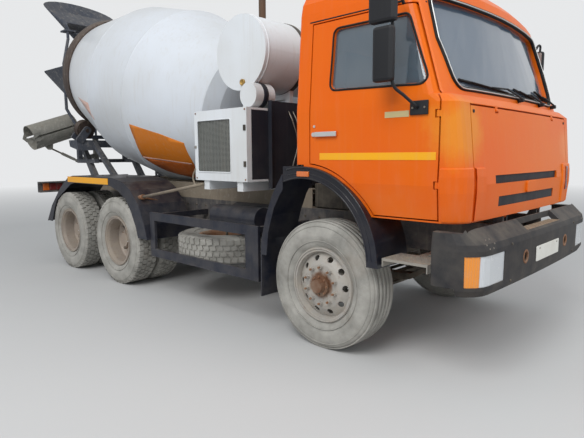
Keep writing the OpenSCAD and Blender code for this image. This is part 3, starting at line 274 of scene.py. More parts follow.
@dataclass(frozen=True)
class Weathered:
    """Paint, plastic or bare metal that has seen dust, stone chips, rain and cement.

    Each reflection patch is a paler place of painted reflection: its middle, its reach and its colour. Soil
    lies between two heights.
    """

    name: str
    base: RGB
    faded: RGB
    dust: float = 0.5
    streaks: float = 0.2
    chips: float = 0.3
    cement: float = 0.0
    rough: float = 0.45
    metal: float = 0.0
    coat: float = 0.0
    grain: float = 0.0004
    shine: float = 0.28
    patches: tuple[tuple[Point, float, RGB], ...] = ()
    soil_top: float = 1.9
    soil_low: float = 0.35

    def material(self) -> bpy.types.Material:
        """Lays fade, painted reflections, streaks, dust, chips and cement over the base colour.

        Returns:
            The material.
        """
        bench = PaintBench(self.name, self.base)
        middle = bench.cloud(7.0, 6.0, 0.62)
        fine = bench.cloud(70.0, 4.0, 0.6)
        bench.lay(self.faded, bench.band(bench.cloud(0.9, 3.0), 0.38, 0.68))
        # Painted reflections: paler patches where light shines off the paint.
        for place, reach, reflection_tint in self.patches:
            gap = bench.node("ShaderNodeVectorMath", {0: bench.place, 1: place}, "DISTANCE").outputs["Value"]
            ragged = bench.times(bench.calc("SUBTRACT", middle, 0.5), 0.25)
            bench.lay(reflection_tint, bench.band(bench.plus(gap, ragged), reach, reach * 0.45), 0.6)
        runs = bench.cloud(1.0, 5.0, 0.6, bench.stretch((26.0, 26.0, 1.3)))
        bench.lay(DUST, bench.band(runs, 0.52, 0.78), self.streaks)
        low = bench.times(bench.band(bench.z, self.soil_top, self.soil_low), 0.55)
        top = bench.times(bench.band(bench.facing_up(), 0.25, 0.95), 0.6)
        patchy = bench.times(bench.plus(low, top), bench.band(middle, 0.28, 0.66))
        dust = bench.times(patchy, self.dust, True)
        bench.lay(DUST, dust)
        spots = bench.band(bench.cloud(30.0, 6.0, 0.72), 0.62, 0.66)
        chips = bench.times(bench.times(spots, bench.band(middle, 0.45, 0.6)), self.chips, True)
        bench.lay(RUST, chips)
        height = bench.calc("SUBTRACT", fine, bench.times(chips, 2.0))
        if self.cement > 0.0:
            lumps = bench.band(bench.cloud(16.0, 8.0, 0.7), 0.60 - 0.2 * self.cement, 0.66)
            crust = bench.times(lumps, self.cement)
            bench.lay(CEMENT, crust)
            height = bench.plus(height, bench.times(crust, 4.0))
        bench.relief(height, self.grain)
        rough = bench.plus(bench.plus(bench.times(dust, 0.4), self.rough), bench.times(fine, 0.12), True)
        sheen = {"Metallic": self.metal, "Coat Weight": self.coat, "Specular IOR Level": self.shine}
        return bench.settle(rough, sheen)


@dataclass(frozen=True)
class DustyRubber:
    """Tyre rubber under pale road dust, darker where the dust has worn off."""

    name: str = "dusty_rubber"
    dark: RGB = tone(130, 128, 122)
    pale: RGB = tone(168, 165, 158)
    stain: RGB = tone(120, 104, 88)

    def material(self) -> bpy.types.Material:
        """Mixes bare rubber and dust, with fine cracks and pores.

        Returns:
            The material.
        """
        bench = PaintBench(self.name, self.dark)
        dusty = bench.band(bench.cloud(5.0, 6.0, 0.65), 0.30, 0.62)
        bench.lay(self.pale, dusty)
        bench.lay(self.stain, bench.band(bench.cloud(2.2, 4.0, 0.6), 0.56, 0.72), 0.35)
        pores = bench.plus(bench.cloud(120.0, 3.0), bench.band(bench.grains(90.0), 0.0, 0.5))
        bench.relief(pores, 0.0006)
        return bench.settle(bench.plus(bench.times(dusty, 0.15), 0.75))


@dataclass(frozen=True)
class HubFinish:
    """A wheel's disc: pale dusty paint outside, rusty and oily about the hub."""

    name: str
    centre_x: float
    centre_z: float
    disc: RGB
    hub: RGB
    hub_reach: float = 0.125

    def material(self) -> bpy.types.Material:
        """Fades from the disc's colour to the hub's by the distance from the wheel's axis.

        Returns:
            The material.
        """
        bench = PaintBench(self.name, self.disc)
        aside = bench.calc("SUBTRACT", bench.x, self.centre_x)
        above = bench.calc("SUBTRACT", bench.z, self.centre_z)
        square = bench.plus(bench.times(aside, aside), bench.times(above, above))
        ragged = bench.times(bench.calc("SUBTRACT", bench.cloud(18.0, 5.0), 0.5), 0.09)
        away = bench.plus(bench.calc("SQRT", square), ragged)
        bench.lay(self.hub, bench.band(away, self.hub_reach, self.hub_reach - 0.03))
        bench.lay(RUST, bench.band(bench.cloud(26.0, 6.0, 0.7), 0.56, 0.66), 0.35)
        dust = bench.band(bench.cloud(8.0, 5.0, 0.6), 0.40, 0.70)
        bench.lay(DUST, dust, 0.45)
        bench.relief(bench.cloud(60.0, 5.0, 0.65), 0.0012)
        return bench.settle(bench.plus(bench.times(dust, 0.25), 0.55), {"Metallic": 0.15})


@dataclass(frozen=True)
class PaneGlass:
    """A dusty pane that shows some of what lies behind it."""

    name: str
    tint: RGB
    clear: float
    film: RGB = tone(190, 196, 200)

    def material(self) -> bpy.types.Material:
        """Clear glass with a thin film of dust.

        Returns:
            The material.
        """
        bench = PaintBench(self.name, self.tint)
        dusty = bench.band(bench.cloud(3.0, 5.0, 0.6, bench.stretch((1.0, 1.0, 0.4))), 0.35, 0.8)
        bench.lay(self.film, dusty, 0.35)
        bench.relief(bench.cloud(1.5, 2.0), 0.0008)
        sheen = {"Transmission Weight": self.clear, "IOR": 1.45, "Specular IOR Level": 0.9,
                 "Coat Weight": 0.6}
        return bench.settle(bench.plus(bench.times(dusty, 0.10), 0.03), sheen)


@dataclass(frozen=True)
class LampLens:
    """A lens of moulded plastic with upright flutes, which carry painted shade in stripes; beyond a width its
    colour changes.
    """

    name: str
    inner: RGB
    outer: RGB
    change_y: float = 9.0
    pitch: float = 0.012
    shade: RGB = tone(120, 122, 124)

    def material(self) -> bpy.types.Material:
        """Colours the lens by its distance from the truck's middle and flutes it.

        Returns:
            The material.
        """
        bench = PaintBench(self.name, self.inner)
        bench.lay(self.outer, bench.calc("GREATER_THAN", bench.calc("ABSOLUTE", bench.y), self.change_y))
        wave = bench.calc("SINE", bench.times(bench.y, 2.0 * math.pi / self.pitch))
        flutes = bench.band(wave, -1.0, 1.0)
        # Painted shade: each flute's trough darkened in a stripe.
        bench.lay(self.shade, flutes, 0.14)
        soil = bench.band(bench.cloud(12.0, 5.0, 0.6), 0.5, 0.75)
        bench.lay(DUST, soil, 0.12)
        bench.relief(flutes, 0.0012)
        return bench.settle(bench.plus(bench.times(soil, 0.4), 0.10), {"Coat Weight": 1.0})


class Finish(Enum):
    """Every finish of the truck."""

    # The cab's two paler patches on its front corners are painted reflections.
    CAB = Weathered("cab_orange", tone(222, 96, 2), tone(222, 106, 10), dust=0.18, streaks=0.05, chips=0.05,
                    rough=0.36, coat=0.08, grain=0.00015, shine=0.2,
                    patches=(((3.80, -1.06, 1.68), 0.26, tone(222, 148, 50)),
                             ((3.86, 0.98, 1.62), 0.20, tone(226, 132, 70))))
    NAVY = Weathered("navy_paint", tone(14, 20, 36), tone(26, 34, 50), dust=0.2, streaks=0.03, chips=0.06,
                     rough=0.4, coat=0.2)
    WING = Weathered("wing_navy", tone(12, 15, 28), tone(24, 28, 42), dust=0.12, streaks=0.01, chips=0.02,
                     rough=0.3, coat=0.35)
    FRAME = Weathered("frame_paint", tone(46, 50, 60), tone(70, 70, 74), dust=0.75, chips=0.5, cement=0.15,
                      rough=0.6)
    MIXER = Weathered("mixer_paint", tone(112, 112, 108), tone(140, 138, 130), streaks=0.25, chips=0.6,
                      cement=0.55, rough=0.7, grain=0.0012)
    HOPPER = Weathered("hopper_paint", tone(58, 64, 76), tone(86, 88, 94), dust=0.4, streaks=0.08, chips=0.4,
                       cement=0.35, rough=0.6, grain=0.001)
    DRUM = Weathered("drum_white", tone(208, 213, 220), tone(198, 201, 204), dust=0.16, chips=0.05,
                     rough=0.38, coat=0.25, grain=0.0003)
    TANK = Weathered("tank_white", tone(216, 220, 224), tone(202, 203, 202), dust=0.28, chips=0.14,
                     rough=0.42, coat=0.15)
    PANEL = Weathered("panel_orange", tone(212, 120, 30), tone(200, 118, 44), dust=0.25, chips=0.05)
    PANEL_DARK = Weathered("panel_brown", tone(190, 98, 36), tone(172, 96, 50), dust=0.25, streaks=0.3,
                           chips=0.1, rough=0.5)
    PINK = Weathered("faded_stripe", tone(206, 164, 150), tone(196, 170, 160), dust=0.25, chips=0.05,
                     rough=0.5)
    PLASTIC = Weathered("bumper_moulding", tone(38, 38, 42), tone(56, 56, 58), dust=0.24, streaks=0.01,
                        chips=0.1, rough=0.6, grain=0.0006)
    TRIM = Weathered("black_trim", tone(26, 27, 30), tone(40, 41, 44), dust=0.2, streaks=0.01, chips=0.04,
                     rough=0.5)
    RUBBER_TRIM = Weathered("rubber_trim", tone(22, 22, 24), tone(34, 34, 36), dust=0.25, streaks=0.05,
                            chips=0.0, rough=0.7)
    # Dark finish of the rear shield, the hose, the bottle's band and the cabinet's sides; on the sheets in
    # the facing panel's slots it is painted shade.
    SHIELD = Weathered("shield_black", tone(22, 25, 34), tone(38, 40, 48), dust=0.22, streaks=0.03,
                       chips=0.08, rough=0.55)
    OILY = Weathered("oily_metal", tone(48, 46, 44), tone(66, 62, 58), dust=0.7, chips=0.5, rough=0.55,
                     metal=0.3, grain=0.001)
    CASTING = Weathered("bare_casting", tone(98, 96, 92), tone(120, 114, 104), dust=0.6, chips=0.4,
                        rough=0.6, metal=0.3, grain=0.001)
    STEEL = Weathered("worn_steel", tone(150, 146, 140), tone(120, 112, 102), dust=0.35, chips=0.45,
                      rough=0.38, metal=0.75, grain=0.0006)
    BRIGHT = Weathered("bright_metal", tone(206, 206, 204), tone(186, 186, 184), dust=0.2, streaks=0.1,
                       chips=0.1, rough=0.28, metal=0.7)
    STACK = Weathered("stack_brown", tone(78, 62, 54), tone(104, 82, 66), dust=0.2, streaks=0.3, chips=0.7,
                      rough=0.55, metal=0.5, grain=0.0008)
    RUSTY = Weathered("rusty_iron", tone(118, 78, 54), tone(140, 98, 70), chips=0.5, cement=0.1, rough=0.75,
                      metal=0.2, grain=0.0015)
    RING = Weathered("roller_ring", tone(58, 50, 48), tone(78, 66, 60), dust=0.3, streaks=0.3, chips=0.5,
                     cement=0.15, rough=0.5, metal=0.3, grain=0.001)
    CRUST = Weathered("crusted_drum", tone(150, 146, 136), tone(128, 120, 108), streaks=0.3, cement=0.7,
                      rough=0.8, grain=0.0015)
    BEAM = Weathered("dusty_beam", tone(128, 118, 104), tone(104, 94, 84), dust=0.8, streaks=0.1, chips=0.6,
                     cement=0.3, rough=0.8, grain=0.001)
    BRASS = Weathered("filler_brass", tone(176, 142, 78), tone(150, 120, 70), dust=0.3, streaks=0.1,
                      chips=0.1, rough=0.4, metal=0.6)
    YELLOW = Weathered("yellow_marker", tone(240, 168, 20), tone(232, 160, 40), dust=0.3, streaks=0.1,
                       chips=0.05, rough=0.35)
    BLANK = Weathered("blank_plate", tone(226, 226, 220), tone(206, 204, 196), dust=0.4, chips=0.1,
                      rough=0.4)
    SIGN = Weathered("blank_sign", tone(196, 178, 128), tone(184, 170, 132), dust=0.35, chips=0.1, rough=0.5)
    WIRE = Weathered("grille_wire", tone(138, 140, 136), tone(124, 126, 122), dust=0.3, chips=0.2, rough=0.5,
                     metal=0.3)
    DARK = Weathered("grille_dark", tone(66, 70, 70), tone(76, 80, 78), dust=0.3, streaks=0.1, chips=0.1,
                     rough=0.7)
    SEAT = Weathered("seat_cloth", tone(54, 56, 60), tone(70, 70, 72), dust=0.25, streaks=0.05, chips=0.0,
                     rough=0.85, grain=0.002)
    TREAD = Weathered("tread_plate", tone(126, 106, 88), tone(144, 126, 106), dust=0.8, chips=0.5,
                      cement=0.1, rough=0.6, metal=0.4, grain=0.002)
    STEP = Weathered("step_metal", tone(140, 140, 138), tone(160, 156, 148), dust=0.8, chips=0.4, cement=0.1,
                     rough=0.5, metal=0.5, grain=0.003)
    TYRE = DustyRubber()
    HUB_FRONT = HubFinish("hub_front", AXLE_X, 0.52, tone(168, 164, 158), tone(110, 78, 58))
    HUB_MID = HubFinish("hub_mid", AXLE_X + MID_AXLE, 0.528, tone(160, 149, 139), tone(150, 136, 124))
    HUB_REAR = HubFinish("hub_rear", AXLE_X + REAR_AXLE, 0.528, tone(160, 149, 139), tone(150, 136, 124))
    SCREEN = PaneGlass("screen_glass", tone(104, 124, 146), 0.50)
    PANE = PaneGlass("side_glass", tone(110, 128, 142), 0.62)
    LAMP = LampLens("lamp_lens", tone(206, 210, 214), tone(236, 140, 20), 1.13)
    AMBER = LampLens("amber_lens", tone(216, 104, 4), tone(216, 104, 4))
    RED = LampLens("red_lens", tone(120, 20, 18), tone(120, 20, 18))

    @property
    def made(self) -> bpy.types.Material:
        """The finish's material, made once."""
        return bpy.data.materials.get(self.value.name) or self.value.material()


class Fixing(Enum):
    """Every kind of bolt, nut or screw: its radius, its height, how many sides it has and its finish."""

    WASHER = (0.021, 0.006, 16, Finish.RUSTY)
    WHEEL_NUT = (0.018, 0.022, 6, Finish.RUSTY)
    WHEEL_STUD = (0.010, 0.016, 8, Finish.RUSTY)
    HUB_BOLT = (0.009, 0.010, 6, Finish.RUSTY)
    DOOR_LOCK = (0.018, 0.014, 24, Finish.BRIGHT)
    DOOR_LATCH = (0.011, 0.008, 20, Finish.BRIGHT)
    PANEL_SCREW = (0.012, 0.006, 16, Finish.TRIM)
    MIRROR_BOLT = (0.008, 0.006, 6, Finish.STEEL)
    PLATE_SCREW = (0.007, 0.004, 12, Finish.STEEL)
    LAMP_SCREW = (0.006, 0.004, 6, Finish.STEEL)
    BUMPER_BOLT = (0.010, 0.006, 6, Finish.OILY)
    GUARD_BOLT = (0.012, 0.008, 6, Finish.OILY)
    CABINET_CATCH = (0.014, 0.012, 16, Finish.STEEL)
    CABINET_BOLT = (0.008, 0.006, 6, Finish.RUSTY)
    FRAME_BOLT = (0.011, 0.009, 6, Finish.OILY)


def turned_to(middle: Vector, way: Vector) -> Matrix:
    """A frame at a place whose Z points a given way."""
    return Matrix.Translation(middle) @ way.to_track_quat("Z", "Y").to_matrix().to_4x4()


def outward(place: Vector, side: Side) -> Matrix:
    """A frame whose Z points away from the truck's side, with its origin at a place."""
    return Matrix.Translation(place) @ Matrix.Rotation(-side.value * math.pi / 2, 4, "X")


def facing_front(place: Vector) -> Matrix:
    """A frame whose X points to the left side, Y up and Z forwards."""
    turn = Matrix(((0, 0, 1, 0), (1, 0, 0, 0), (0, 1, 0, 0), (0, 0, 0, 1)))
    return Matrix.Translation(place) @ turn


def on_circle(count: int, radius: float, first: float = 0.0) -> list[tuple[float, float]]:
    """Evenly spaced points on a circle.

    Args:
        count: how many there are.
        radius: the circle's radius.
        first: the first one's angle, in degrees.

    Returns:
        The points as across and up.
    """
    angles = [math.radians(first + 360.0 * step / count) for step in range(count)]
    return [(radius * math.cos(angle), radius * math.sin(angle)) for angle in angles]


def hoop(low: float, high: float, middle: float, half: float,
         flat: float | None = None) -> list[tuple[float, float]]:
    """The section of a band that runs round a turned form.

    Args:
        low: its inner radius.
        high: its outer radius.
        middle: its place along the axis.
        half: half of its width inside.
        flat: half of its width outside, or None for the same.

    Returns:
        The points as radius and place.
    """
    top = half if flat is None else flat
    return [(low, middle - half), (high, middle - top), (high, middle + top), (low, middle + half)]


def rounded(half_w: float, half_h: float, radius: float, steps: int = 6) -> list[tuple[float, float]]:
    """A rectangle's outline with round corners.

    Args:
        half_w: half of its width.
        half_h: half of its height.
        radius: the corner's radius.
        steps: points to a corner, less one.

    Returns:
        The points in turn.
    """
    points = []
    for corner, (su, sv) in enumerate(((1, 1), (-1, 1), (-1, -1), (1, -1))):
        for step in range(steps + 1):
            angle = math.radians(90 * corner + 90 * step / steps)
            points.append((su * (half_w - radius) + radius * math.cos(angle),
                           sv * (half_h - radius) + radius * math.sin(angle)))
    return points


def round_trip(circles: Sequence[Point], grow: float = 0.0, pitch: float = 0.12) -> list[tuple[float, float]]:
    """The outline that a cord drawn tight round circles takes, with points along its straights.

    Args:
        circles: centre across, centre up and radius, anticlockwise.
        grow: added to each radius.
        pitch: the longest step along a straight.

    Returns:
        The points in turn.
    """
    arcs = []
    steps = 5
    for before, (u, v, radius), after in zip(circles[-1:] + circles[:-1], circles, circles[1:] + circles[:1]):
        first = math.atan2(v - before[1], u - before[0]) - math.pi / 2
        last = math.atan2(after[1] - v, after[0] - u) - math.pi / 2
        sweep = (last - first) % (2 * math.pi)
        for step in range(steps + 1):
            angle = first + sweep * step / steps
            arcs.append((u + (radius + grow) * math.cos(angle), v + (radius + grow) * math.sin(angle)))
    points = []
    for (u0, v0), (u1, v1) in zip(arcs, arcs[1:] + arcs[:1]):
        parts = max(1, math.ceil(math.dist((u0, v0), (u1, v1)) / pitch))
        points += [(u0 + (u1 - u0) * part / parts, v0 + (v1 - v0) * part / parts) for part in range(parts)]
    return points


def soften(form: bmesh.types.BMesh, edges: Sequence[bmesh.types.BMEdge], radius: float) -> None:
    """Rounds edges of a form, where the radius isn't 0.

    Args:
        form: the form.
        edges: its edges.
        radius: their new radius.
    """
    if radius > 0.0:
        bmesh.ops.bevel(form, geom=edges, offset=radius, segments=2, profile=0.5, affect="EDGES", material=-1)


def thicken(form: bmesh.types.BMesh) -> list[bmesh.types.BMVert]:
    """Extrudes a sheet on the spot and gives the new sheet's vertices, which are then moved."""
    out = bmesh.ops.extrude_face_region(form, geom=form.faces[:])["geom"]
    return [item for item in out if isinstance(item, bmesh.types.BMVert)]


class Workpiece:
    """A piece under way: forms are shaped with bmesh operators and joined in one mesh."""

    def __init__(self, name: str, body: str) -> None:
        """Starts an empty piece.

        Args:
            name: the piece's name.
            body: the body that it rides on.
        """
        self.name = name
        self.body = body
        self.mesh = bmesh.new()
        self.finishes: list[Finish] = []

    def take(self, form: bmesh.types.BMesh, finish: Finish, place: Matrix | None = None,
             smooth: bool = True) -> None:
        """Joins a form to the piece and frees it.

        Args:
            form: the form.
            finish: its finish.
            place: the transform that puts it in place.
            smooth: whether its faces are shaded smooth.
        """
        if finish not in self.finishes:
            self.finishes.append(finish)
        bmesh.ops.recalc_face_normals(form, faces=form.faces)
        for face in form.faces:
            face.material_index = self.finishes.index(finish)
            face.smooth = smooth
        if place is not None:
            bmesh.ops.transform(form, matrix=place, verts=form.verts)
        joined = bpy.data.meshes.new("joined")
        form.to_mesh(joined)
        form.free()
        self.mesh.from_mesh(joined)
        bpy.data.meshes.remove(joined)

    def block(self, centre: Vector, size: Point, finish: Finish, bevel: float = 0.0) -> None:
        """Adds a box with rounded edges.

        Args:
            centre: its middle.
            size: its three sides.
            finish: its finish.
            bevel: the radius of its edges.
        """
        form = bmesh.new()
        bmesh.ops.create_cube(form, size=1.0)
        bmesh.ops.scale(form, vec=size, verts=form.verts)
        soften(form, form.edges, bevel)
        self.take(form, finish, Matrix.Translation(centre), False)

    def bars(self, places: Iterable[Matrix], size: Point, finish: Finish) -> None:
        """Adds a row of small boxes that are alike.

        Args:
            places: their frames.
            size: their three sides.
            finish: their finish.
        """
        form = bmesh.new()
        for place in places:
            bmesh.ops.create_cube(form, size=1.0, matrix=place @ Matrix.Diagonal((*size, 1)))
        self.take(form, finish, None, False)

    def rod(self, start: Vector, end: Vector, radius: float, finish: Finish, sides: int = 16,
            tip: float | None = None) -> None:
        """Adds a round bar or a cone between two points, with flat ends.

        Args:
            start: the middle of its first end.
            end: the middle of its other end.
            radius: the first end's radius.
            finish: its finish.
            sides: how many sides it has.
            tip: the other end's radius, or None for the same one.
        """
        form = bmesh.new()
        line = end - start
        bmesh.ops.create_cone(form, cap_ends=True, segments=sides, radius1=radius,
                              radius2=radius if tip is None else tip, depth=line.length)
        self.take(form, finish, turned_to((start + end) / 2, line))
        for face in self.mesh.faces[-sides - 2:]:
            face.smooth = len(face.verts) == 4

    def lathe(self, profile: Outline, place: Matrix, finish: Finish, steps: int = 48) -> None:
        """Adds a form turned about its own Z axis.

        Args:
            profile: its closed section, as radius and height.
            place: the transform that puts it in place.
            finish: its finish.
            steps: how many steps the turn has.
        """
        form = bmesh.new()
        verts = [form.verts.new((radius, 0.0, height)) for radius, height in profile]
        edges = [form.edges.new(pair) for pair in zip(verts, verts[1:] + verts[:1])]
        bmesh.ops.spin(form, geom=verts + edges, cent=(0, 0, 0), axis=(0, 0, 1), angle=2 * math.pi,
                       steps=steps, use_merge=True)
        bmesh.ops.remove_doubles(form, verts=form.verts, dist=1e-5)
        self.take(form, finish, place)

    def plate(self, outline: Outline, place: Matrix, thick: float, finish: Finish,
              bevel: float = 0.0) -> None:
        """Adds a flat plate drawn in its own XY plane, thick towards its Z.

        Args:
            outline: its corners in turn.
            place: the transform that puts it in place.
            thick: its thickness.
            finish: its finish.
            bevel: the radius of its outer rim.
        """
        form = bmesh.new()
        form.faces.new([form.verts.new((u, v, 0.0)) for u, v in outline])
        top = thicken(form)
        bmesh.ops.translate(form, vec=(0, 0, thick), verts=top)
        soften(form, [edge for edge in form.edges if all(vert in top for vert in edge.verts)], bevel)
        self.take(form, finish, place, False)

    def pipe(self, route: Sequence[Vector], radius: float, finish: Finish, soft: bool = True,
             ring: bool = False) -> None:
        """Adds a round tube along a route, closed at both ends.

        Args:
            route: the points that it passes.
            radius: its radius.
            finish: its finish.
            soft: whether it bends smoothly through the points.
            ring: whether it runs back to its start.
        """
        curve = bpy.data.curves.new("route", "CURVE")
        curve.dimensions = "3D"
        curve.bevel_depth = radius
        curve.bevel_resolution = 2
        curve.resolution_u = curve.render_resolution_u = 5
        curve.use_fill_caps = not ring
        line = curve.splines.new("BEZIER")
        line.bezier_points.add(len(route) - 1)
        line.use_cyclic_u = ring
        for knot, point in zip(line.bezier_points, route):
            knot.co = point
            knot.handle_left_type = knot.handle_right_type = "AUTO" if soft else "VECTOR"
        holder = bpy.data.objects.new("route", curve)
        bpy.context.scene.collection.objects.link(holder)
        tube = bpy.data.meshes.new_from_object(holder.evaluated_get(bpy.context.evaluated_depsgraph_get()))
        form = bmesh.new()
        form.from_mesh(tube)
        bpy.data.objects.remove(holder)
        bpy.data.curves.remove(curve)
        bpy.data.meshes.remove(tube)
        bmesh.ops.remove_doubles(form, verts=form.verts, dist=1e-5)
        self.take(form, finish)

    def fix(self, kind: Fixing, foot: Vector, way: Vector, finish: Finish | None = None) -> None:
        """Adds a bolt, nut or screw that stands on a surface and narrows a little to its top.

        Args:
            kind: which one it is.
            foot: the middle of its foot.
            way: the surface's outward direction.
            finish: its finish, or None for its own.
        """
        across, height, sides, own = kind.value
        form = bmesh.new()
        bmesh.ops.create_cone(form, cap_ends=True, segments=sides, radius1=across, radius2=across * 0.88,
                              depth=height)
        self.take(form, finish or own, turned_to(foot + way.normalized() * height / 2, way), False)

    def finished(self) -> bpy.types.Object:
        """Makes the object, which sits at the origin and rides on its body.

        Returns:
            The object.
        """
        data = bpy.data.meshes.new(self.name)
        self.mesh.to_mesh(data)
        self.mesh.free()
        for finish in self.finishes:
            data.materials.append(finish.made)
        piece = bpy.data.objects.new(self.name, data)
        bpy.context.scene.collection.objects.link(piece)
        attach(piece, self.body)
        LOG.info("%s: %d faces on %s", self.name, len(data.polygons), self.body)
        return piece


class Skin:
    """The surface of one or more CAD parts, on which trims are laid."""

    def __init__(self, *names: str) -> None:
        """Reads the parts' meshes.

        Args:
            names: the CAD parts.
        """
        self.trees = []
        for name in names:
            form = bmesh.new()
            form.from_mesh(frame["nodes"][name].data)
            self.trees.append(BVHTree.FromBMesh(form))
            form.free()

    def meet(self, start: Vector, way: Point, lift: float = 0.0) -> Vector:
        """Where a ray first meets the surface.

        Args:
            start: where the ray starts.
            way: its direction.
            lift: how far the answer stands back along the ray.

        Returns:
            The point, or the ray's start where it meets nothing.
        """
        line = Vector(way).normalized()
        found = [hit for tree in self.trees if (hit := tree.ray_cast(start, line, 3.0))[0] is not None]
        if not found:
            LOG.debug("a ray from %s met nothing", tuple(round(c, 3) for c in start))
            return start
        return min(found, key=lambda hit: hit[3])[0] - line * lift

    def from_front(self, y: float, z: float, lift: float = 0.0) -> Vector:
        """Where the surface lies, seen from the front."""
        return self.meet(spot(FAR_FRONT, y, z), (-1, 0, 0), lift)

    def from_side(self, side: Side, x: float, z: float, lift: float = 0.0) -> Vector:
        """Where the surface lies, seen from a side, at a place measured from the front axle."""
        return self.meet(spot(x, side.value * FAR_SIDE, z), (0, -side.value, 0), lift)

    def from_above(self, start: Vector) -> Vector:
        """Where the surface lies under a place."""
        return self.meet(start, (0, 0, -1))


def frame_body(node: str) -> str:
    """The body that a CAD part belongs to.

    Args:
        node: the part's name.

    Returns:
        The body's name.
    """
    for name, nodes in frame["record"]["behaviour"]["bodies"].items():
        if node in nodes:
            return name
    raise KeyError(node)


@dataclass
class RoadWheel:
    """A wheel's place and what its tyres, nuts and hub look like.

    The walls are points of the tyre's side: share of the way from bead to tread, and how far past the side.
    A row of blocks has its place along the axle, its width and its shift in steps; a rib has its place,
    half width and how far it lies lower. A line on the wall has its share of the way and its lift.
    """

    axle: str
    side: Side
    x: float
    track: float
    radius: float
    disc: Finish
    twin: bool = True
    ribbed: bool = False
    gap: float = 0.325
    tread_w: float = 0.228
    width: float = 0.284
    bead: float = 0.286
    rim_w: float = 0.212
    blocks: int = 46
    block: tuple[float, float] = (0.013, 0.052)
    walls: tuple = ((0.22, -0.012), (0.42, -0.003), (0.46, 0.0), (0.50, 0.0), (0.62, -0.002), (0.72, -0.006))
    rows: tuple = ((-0.088, 0.048, 0.0), (-0.030, 0.044, 0.5), (0.030, 0.044, 0.0), (0.088, 0.048, 0.5))
    ribs: tuple = ((-0.092, 0.021, 0.002), (-0.046, 0.020, 0.0), (0.0, 0.020, 0.0), (0.046, 0.020, 0.0),
                   (0.092, 0.021, 0.002))
    lines: tuple = ((0.30, 0.0015), (0.80, -0.004))
    nut_circle: float = 0.1475
    shoulder: float = 0.012

    @property
    def body(self) -> str:
        """The body that the wheel is."""
        return f"{self.axle}_wheel_{self.side.word}"

    @property
    def hub(self) -> Matrix:
        """The wheel's frame, with Z outwards along its axis."""
        return outward(spot(self.x, self.side.value * self.track, self.radius), self.side)

    def section(self) -> list[tuple[float, float]]:
        """The carcass of a tyre in section, drawn in under the tread.

        Returns:
            The points in turn, as radius and place along the axle.
        """
        rim, tread = self.rim_w / 2, self.tread_w / 2
        bead, deep = self.bead, self.radius - self.bead
        half = [(bead + 0.0005, rim - 0.0005), (bead + 0.018, rim - 0.0005), (bead + 0.026, rim + 0.006)]
        half += [(bead + share * deep, self.width / 2 + past) for share, past in self.walls]
        half += [(self.radius - 0.030, tread + 0.012), (self.radius - 0.016, tread - 0.004),
                 (self.radius - 0.013, tread - 0.02)]
        return half + [(radius, -along) for radius, along in reversed(half)]

    def tread(self, piece: Workpiece, place: Matrix) -> None:
        """Adds rows of tread blocks, the outer two drawn down over the shoulders.

        Args:
            piece: the piece that takes them.
            place: the tyre's middle, with Z along its axis.
        """
        form = bmesh.new()
        outmost = max(row[0] for row in self.rows)
        for along, wide, shift in self.rows:
            rise = Matrix.Translation((self.radius - 0.0075, 0, along))
            lean = rise @ Matrix.Rotation(math.copysign(0.16, along), 4, "X")
            for step in range(self.blocks):
                spin = Matrix.Rotation((step + shift) * 2 * math.pi / self.blocks, 4, "Z")
                at = spin @ lean
                shape = at @ Matrix.Diagonal((*self.block, wide, 1))
                made = bmesh.ops.create_cube(form, size=1.0, matrix=shape)
                if abs(along) == outmost:
                    back = at.inverted()
                    low = [vert for vert in made["verts"]
                           if (back @ vert.co).z * along > 0 and (back @ vert.co).x < 0]
                    down = Vector((-self.shoulder, 0, math.copysign(self.shoulder, along)))
                    bmesh.ops.translate(form, vec=spin @ down, verts=low)
        piece.take(form, Finish.TYRE, place, False)

    def rings(self) -> list[list[tuple[float, float]]]:
        """The sections of what runs round the carcass: a front tyre's ribs, and the lines on the walls.

        Returns:
            The sections, as radius and place along the axle.
        """
        rings = []
        for along, half, drop in self.ribs if self.ribbed else ():
            foot, top = self.radius - 0.014, self.radius - drop
            rings.append([(foot, along - half), (top - 0.001, along - half + 0.002), (top, along),
                          (top - 0.001, along + half - 0.002), (foot, along + half)])
        for face in (-1, 1):
            for share, lift in self.lines:
                r = self.bead + share * (self.radius - self.bead)
                foot = face * (self.width / 2 - 0.012 + lift)
                top = foot + face * 0.0095
                rings.append([(r - 0.004, foot), (r - 0.003, top), (r + 0.003, top), (r + 0.004, foot)])
        return rings

    def tyre(self, piece: Workpiece, place: Matrix) -> None:
        """Adds one tyre with its ribs or blocks and its moulded lines.

        Args:
            piece: the piece that takes it.
            place: its middle, with Z along its axis.
        """
        piece.lathe(self.section(), place, Finish.TYRE, 96)
        if not self.ribbed:
            self.tread(piece, place)
        for ring in self.rings():
            piece.lathe(ring, place, Finish.TYRE, 96)

    def tyres(self) -> None:
        """Makes the wheel's tyres in place of the plain ones."""
        word = "tyres" if self.twin else "tyre"
        piece = Workpiece(f"{self.axle}_{word}_dressed_{self.side.word}", self.body)
        for offset in ((-self.gap / 2, self.gap / 2) if self.twin else (0.0,)):
            self.tyre(piece, self.hub @ Matrix.Translation((0, 0, offset)))
        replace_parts(piece.finished(), f"{self.axle}_{word}_{self.side.word}")

    def nuts(self) -> None:
        """Makes the ten wheel nuts with their studs, the hub's cap bolts, the valve and the rim's bead."""
        piece = Workpiece(f"wheel_nuts_{self.body}", self.body)
